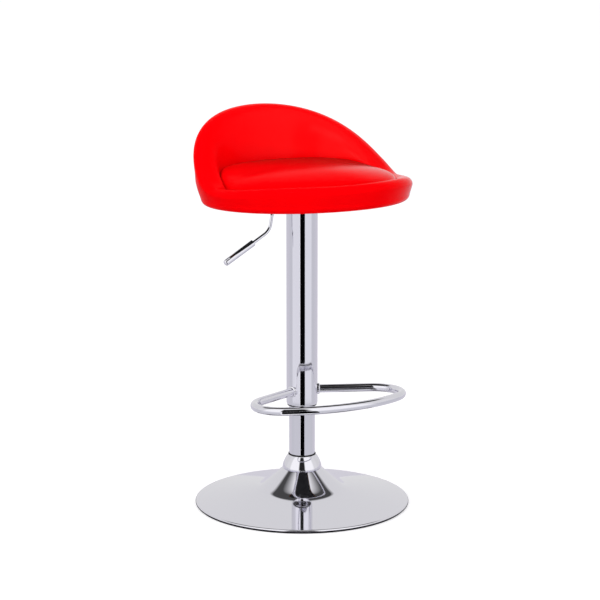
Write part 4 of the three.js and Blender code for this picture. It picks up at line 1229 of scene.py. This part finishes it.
# A point round the stool: degrees from the camera's side (left is positive), metres out and up
def studioPlace(turn, distance, height):
    angle = radians(studio["view"] + turn)
    return Vector((-distance * sin(angle), -distance * cos(angle), height))


def emptyMaterial(name):
    material = bpy.data.materials.new(name)
    material.use_nodes = True
    material.node_tree.nodes.clear()
    return material, material.node_tree


# White paper floor: it takes the stool's soft shadow, and its own glow brings it up to white
def makeFloor():
    deselectAll()
    bpy.ops.mesh.primitive_plane_add(size=studio["floorSize"])
    floor = nameIt(bpy.context.object, "studioFloor")
    material, tree = emptyMaterial("whitePaper")
    matt = addNode(tree, "BsdfDiffuse", values={"Color": hexColour(studio["floorGrey"])})
    strength = addNode(tree, "Math", {"operation": "MULTIPLY"}, {1: studio["floorGlow"]},
                       {0: seenRays(tree)})
    glow = addNode(tree, "Emission", links={"Strength": strength})
    both = addNode(tree, "AddShader", links={0: matt, 1: glow})
    addNode(tree, "OutputMaterial", links={"Surface": both})
    floor.data.materials.append(material)


floorCards = [
    # name, middle and half of the wedge in degrees, near, far, colour, height
    # painted shadow: a dark ring on the floor round the base, standing for the contact shadow that
    # the chrome's rolled edge reflects
    ("contactShadowCard", 0, 180, 0.19, 0.235, "#26242a", 0.0003),
    ("darkCard", -4, 17.5, 0.33, 9.0, "#030304", 0.0006),
    ("frontLeftCard", 45, 29, 0.24, 0.8, "#d9d9df", 0.0005),
    ("frontRightCard", -45, 29, 0.24, 0.8, "#d9d9df", 0.0005),
    ("frontLeftFarCard", 45, 29, 0.8, 9.0, "#f0f0f5", 0.0005),
    ("frontRightFarCard", -45, 29, 0.8, 9.0, "#f0f0f5", 0.0005),
    ("leftCard", 89, 16, 0.24, 9.0, "#d6d6dc", 0.0004),
    ("rightCard", -89, 16, 0.24, 9.0, "#d6d6dc", 0.0004),
    ("farCard", 180, 75, 0.24, 9.0, "#dad8e0", 0.0004),
]


# A wedge of coloured card on the floor, seen only in reflections
def makeCard(name, middle, half, near, far, colour, height):
    mesh = bpy.data.meshes.new(name)
    steps = 48
    corners = []
    for step in range(steps + 1):
        for distance in (near, far):
            corners.append(studioPlace(middle - half + 2 * half * step / steps, distance, height))
    faces = [(2 * i, 2 * i + 1, 2 * i + 3, 2 * i + 2) for i in range(steps)]
    mesh.from_pydata(corners, [], faces)
    card = newObject(name, mesh)
    material, tree = emptyMaterial(name)
    glow = addNode(tree, "Emission", values={"Color": hexColour(colour)})
    addNode(tree, "OutputMaterial", links={"Surface": glow})
    card.data.materials.append(material)
    for ray in ("camera", "diffuse", "shadow"):
        setattr(card, "visible_" + ray, False)


# The room: white to the camera, a soft level for surfaces, and for reflections a studio with a
# dark gap on the camera's side
def makeWorld():
    s = studio
    world = bpy.data.worlds.new("studioRoom")
    bpy.context.scene.world = world
    world.use_nodes = True
    tree = world.node_tree
    tree.nodes.clear()
    way = addNode(tree, "TexCoord").outputs["Generated"]
    flat = addNode(tree, "VectorMath", {"operation": "MULTIPLY"}, {1: (1, 1, 0)}, {0: way})
    heading = addNode(tree, "VectorMath", {"operation": "NORMALIZE"}, None, {0: flat})
    cosine = addNode(tree, "VectorMath", {"operation": "DOT_PRODUCT"}, {1: studioPlace(0, 1, 0)},
                     {0: heading}).outputs["Value"]
    place = addNode(tree, "MapRange", None, {"From Min": -1.0}, {"Value": cosine})
    ramp = addNode(tree, "ValToRGB", links={"Fac": place})
    while len(ramp.color_ramp.elements) < len(roomStops):
        ramp.color_ramp.elements.new(0.5)
    for element, (position, level) in zip(ramp.color_ramp.elements, roomStops):
        element.position = position
        element.color = (level, level, level, 1)
    turn = {"From Min": s["turnFrom"], "From Max": s["turnTo"]}
    levels = {**turn, "To Min": s["backCeiling"], "To Max": s["frontCeiling"]}
    ceiling = addNode(tree, "MapRange", None, levels, {"Value": place})
    starts = {**turn, "To Min": s["backStart"], "To Max": s["frontStart"]}
    start = addNode(tree, "MapRange", None, starts, {"Value": place})
    height = addNode(tree, "SeparateXYZ", links={"Vector": way}).outputs["Z"]
    over = addNode(tree, "Math", {"operation": "SUBTRACT"}, None, {0: height, 1: start})
    up = addNode(tree, "MapRange", None, {"From Max": s["startBlend"]}, {"Value": over})
    sides = {"Factor": up, "A": ramp, "B": ceiling}
    room = addNode(tree, "Mix", {"data_type": "RGBA"}, None, sides).outputs["Result"]
    mirror = addNode(tree, "Background", links={"Color": room})
    plain = addNode(tree, "Background", values={"Color": (1, 1, 1, 1)})
    sky = {"Color": hexColour(s["skyTint"]), "Strength": s["skyForSkin"]}
    soft = addNode(tree, "Background", values=sky)
    toCamera = addNode(tree, "LightPath").outputs["Is Camera Ray"]
    shown = addNode(tree, "MixShader", links={0: toCamera, 1: mirror, 2: plain})
    final = addNode(tree, "MixShader", links={0: seenRays(tree), 1: soft, 2: shown})
    addNode(tree, "OutputWorld", links={"Surface": final})


softBoxes = [
    # name, degrees from the camera's side, distance, height, size, power
    ("frontBox", -12, 3.4, 0.35, 1.2, 36),
    ("leftBox", 62, 2.8, 2.0, 0.9, 14),
    ("topBox", 15, 1.3, 2.3, 1.0, 9),
]


# Square lamps, left out of reflections
def makeSoftBoxes():
    for name, turn, distance, height, size, power in softBoxes:
        place = studioPlace(turn, distance, height)
        bpy.ops.object.light_add(type="AREA", location=place)
        lamp = bpy.context.object
        lamp.name = name
        lamp.data.energy = power
        lamp.data.size = size
        away = place - Vector((0, 0, studio["aim"]))
        lamp.rotation_euler = away.to_track_quat("Z", "Y").to_euler()
        lamp.visible_glossy = False


camera = {
    "distance": 4.5,
    "height": 1.38927,
    "pitch": 12.368,
    "frame": 600,  # width of the picture, which the next two are given in
    "focal": 2403.9,
    "columnAt": 302,
    "sensor": 36,
}


def makeCamera():
    c = camera
    bpy.ops.object.camera_add(
        location=studioPlace(0, c["distance"], c["height"]),
        rotation=(radians(90 - c["pitch"]), 0, -radians(studio["view"])),
    )
    eye = bpy.context.object
    eye.name = "studioCamera"
    eye.data.sensor_width = c["sensor"]
    eye.data.lens = c["focal"] / c["frame"] * c["sensor"]
    eye.data.shift_x = (c["frame"] / 2 - c["columnAt"]) / c["frame"]
    bpy.context.scene.camera = eye


makeFloor()
for card in floorCards:
    makeCard(*card)
makeWorld()
makeSoftBoxes()
makeCamera()
bpy.context.scene.view_settings.view_transform = "Standard"
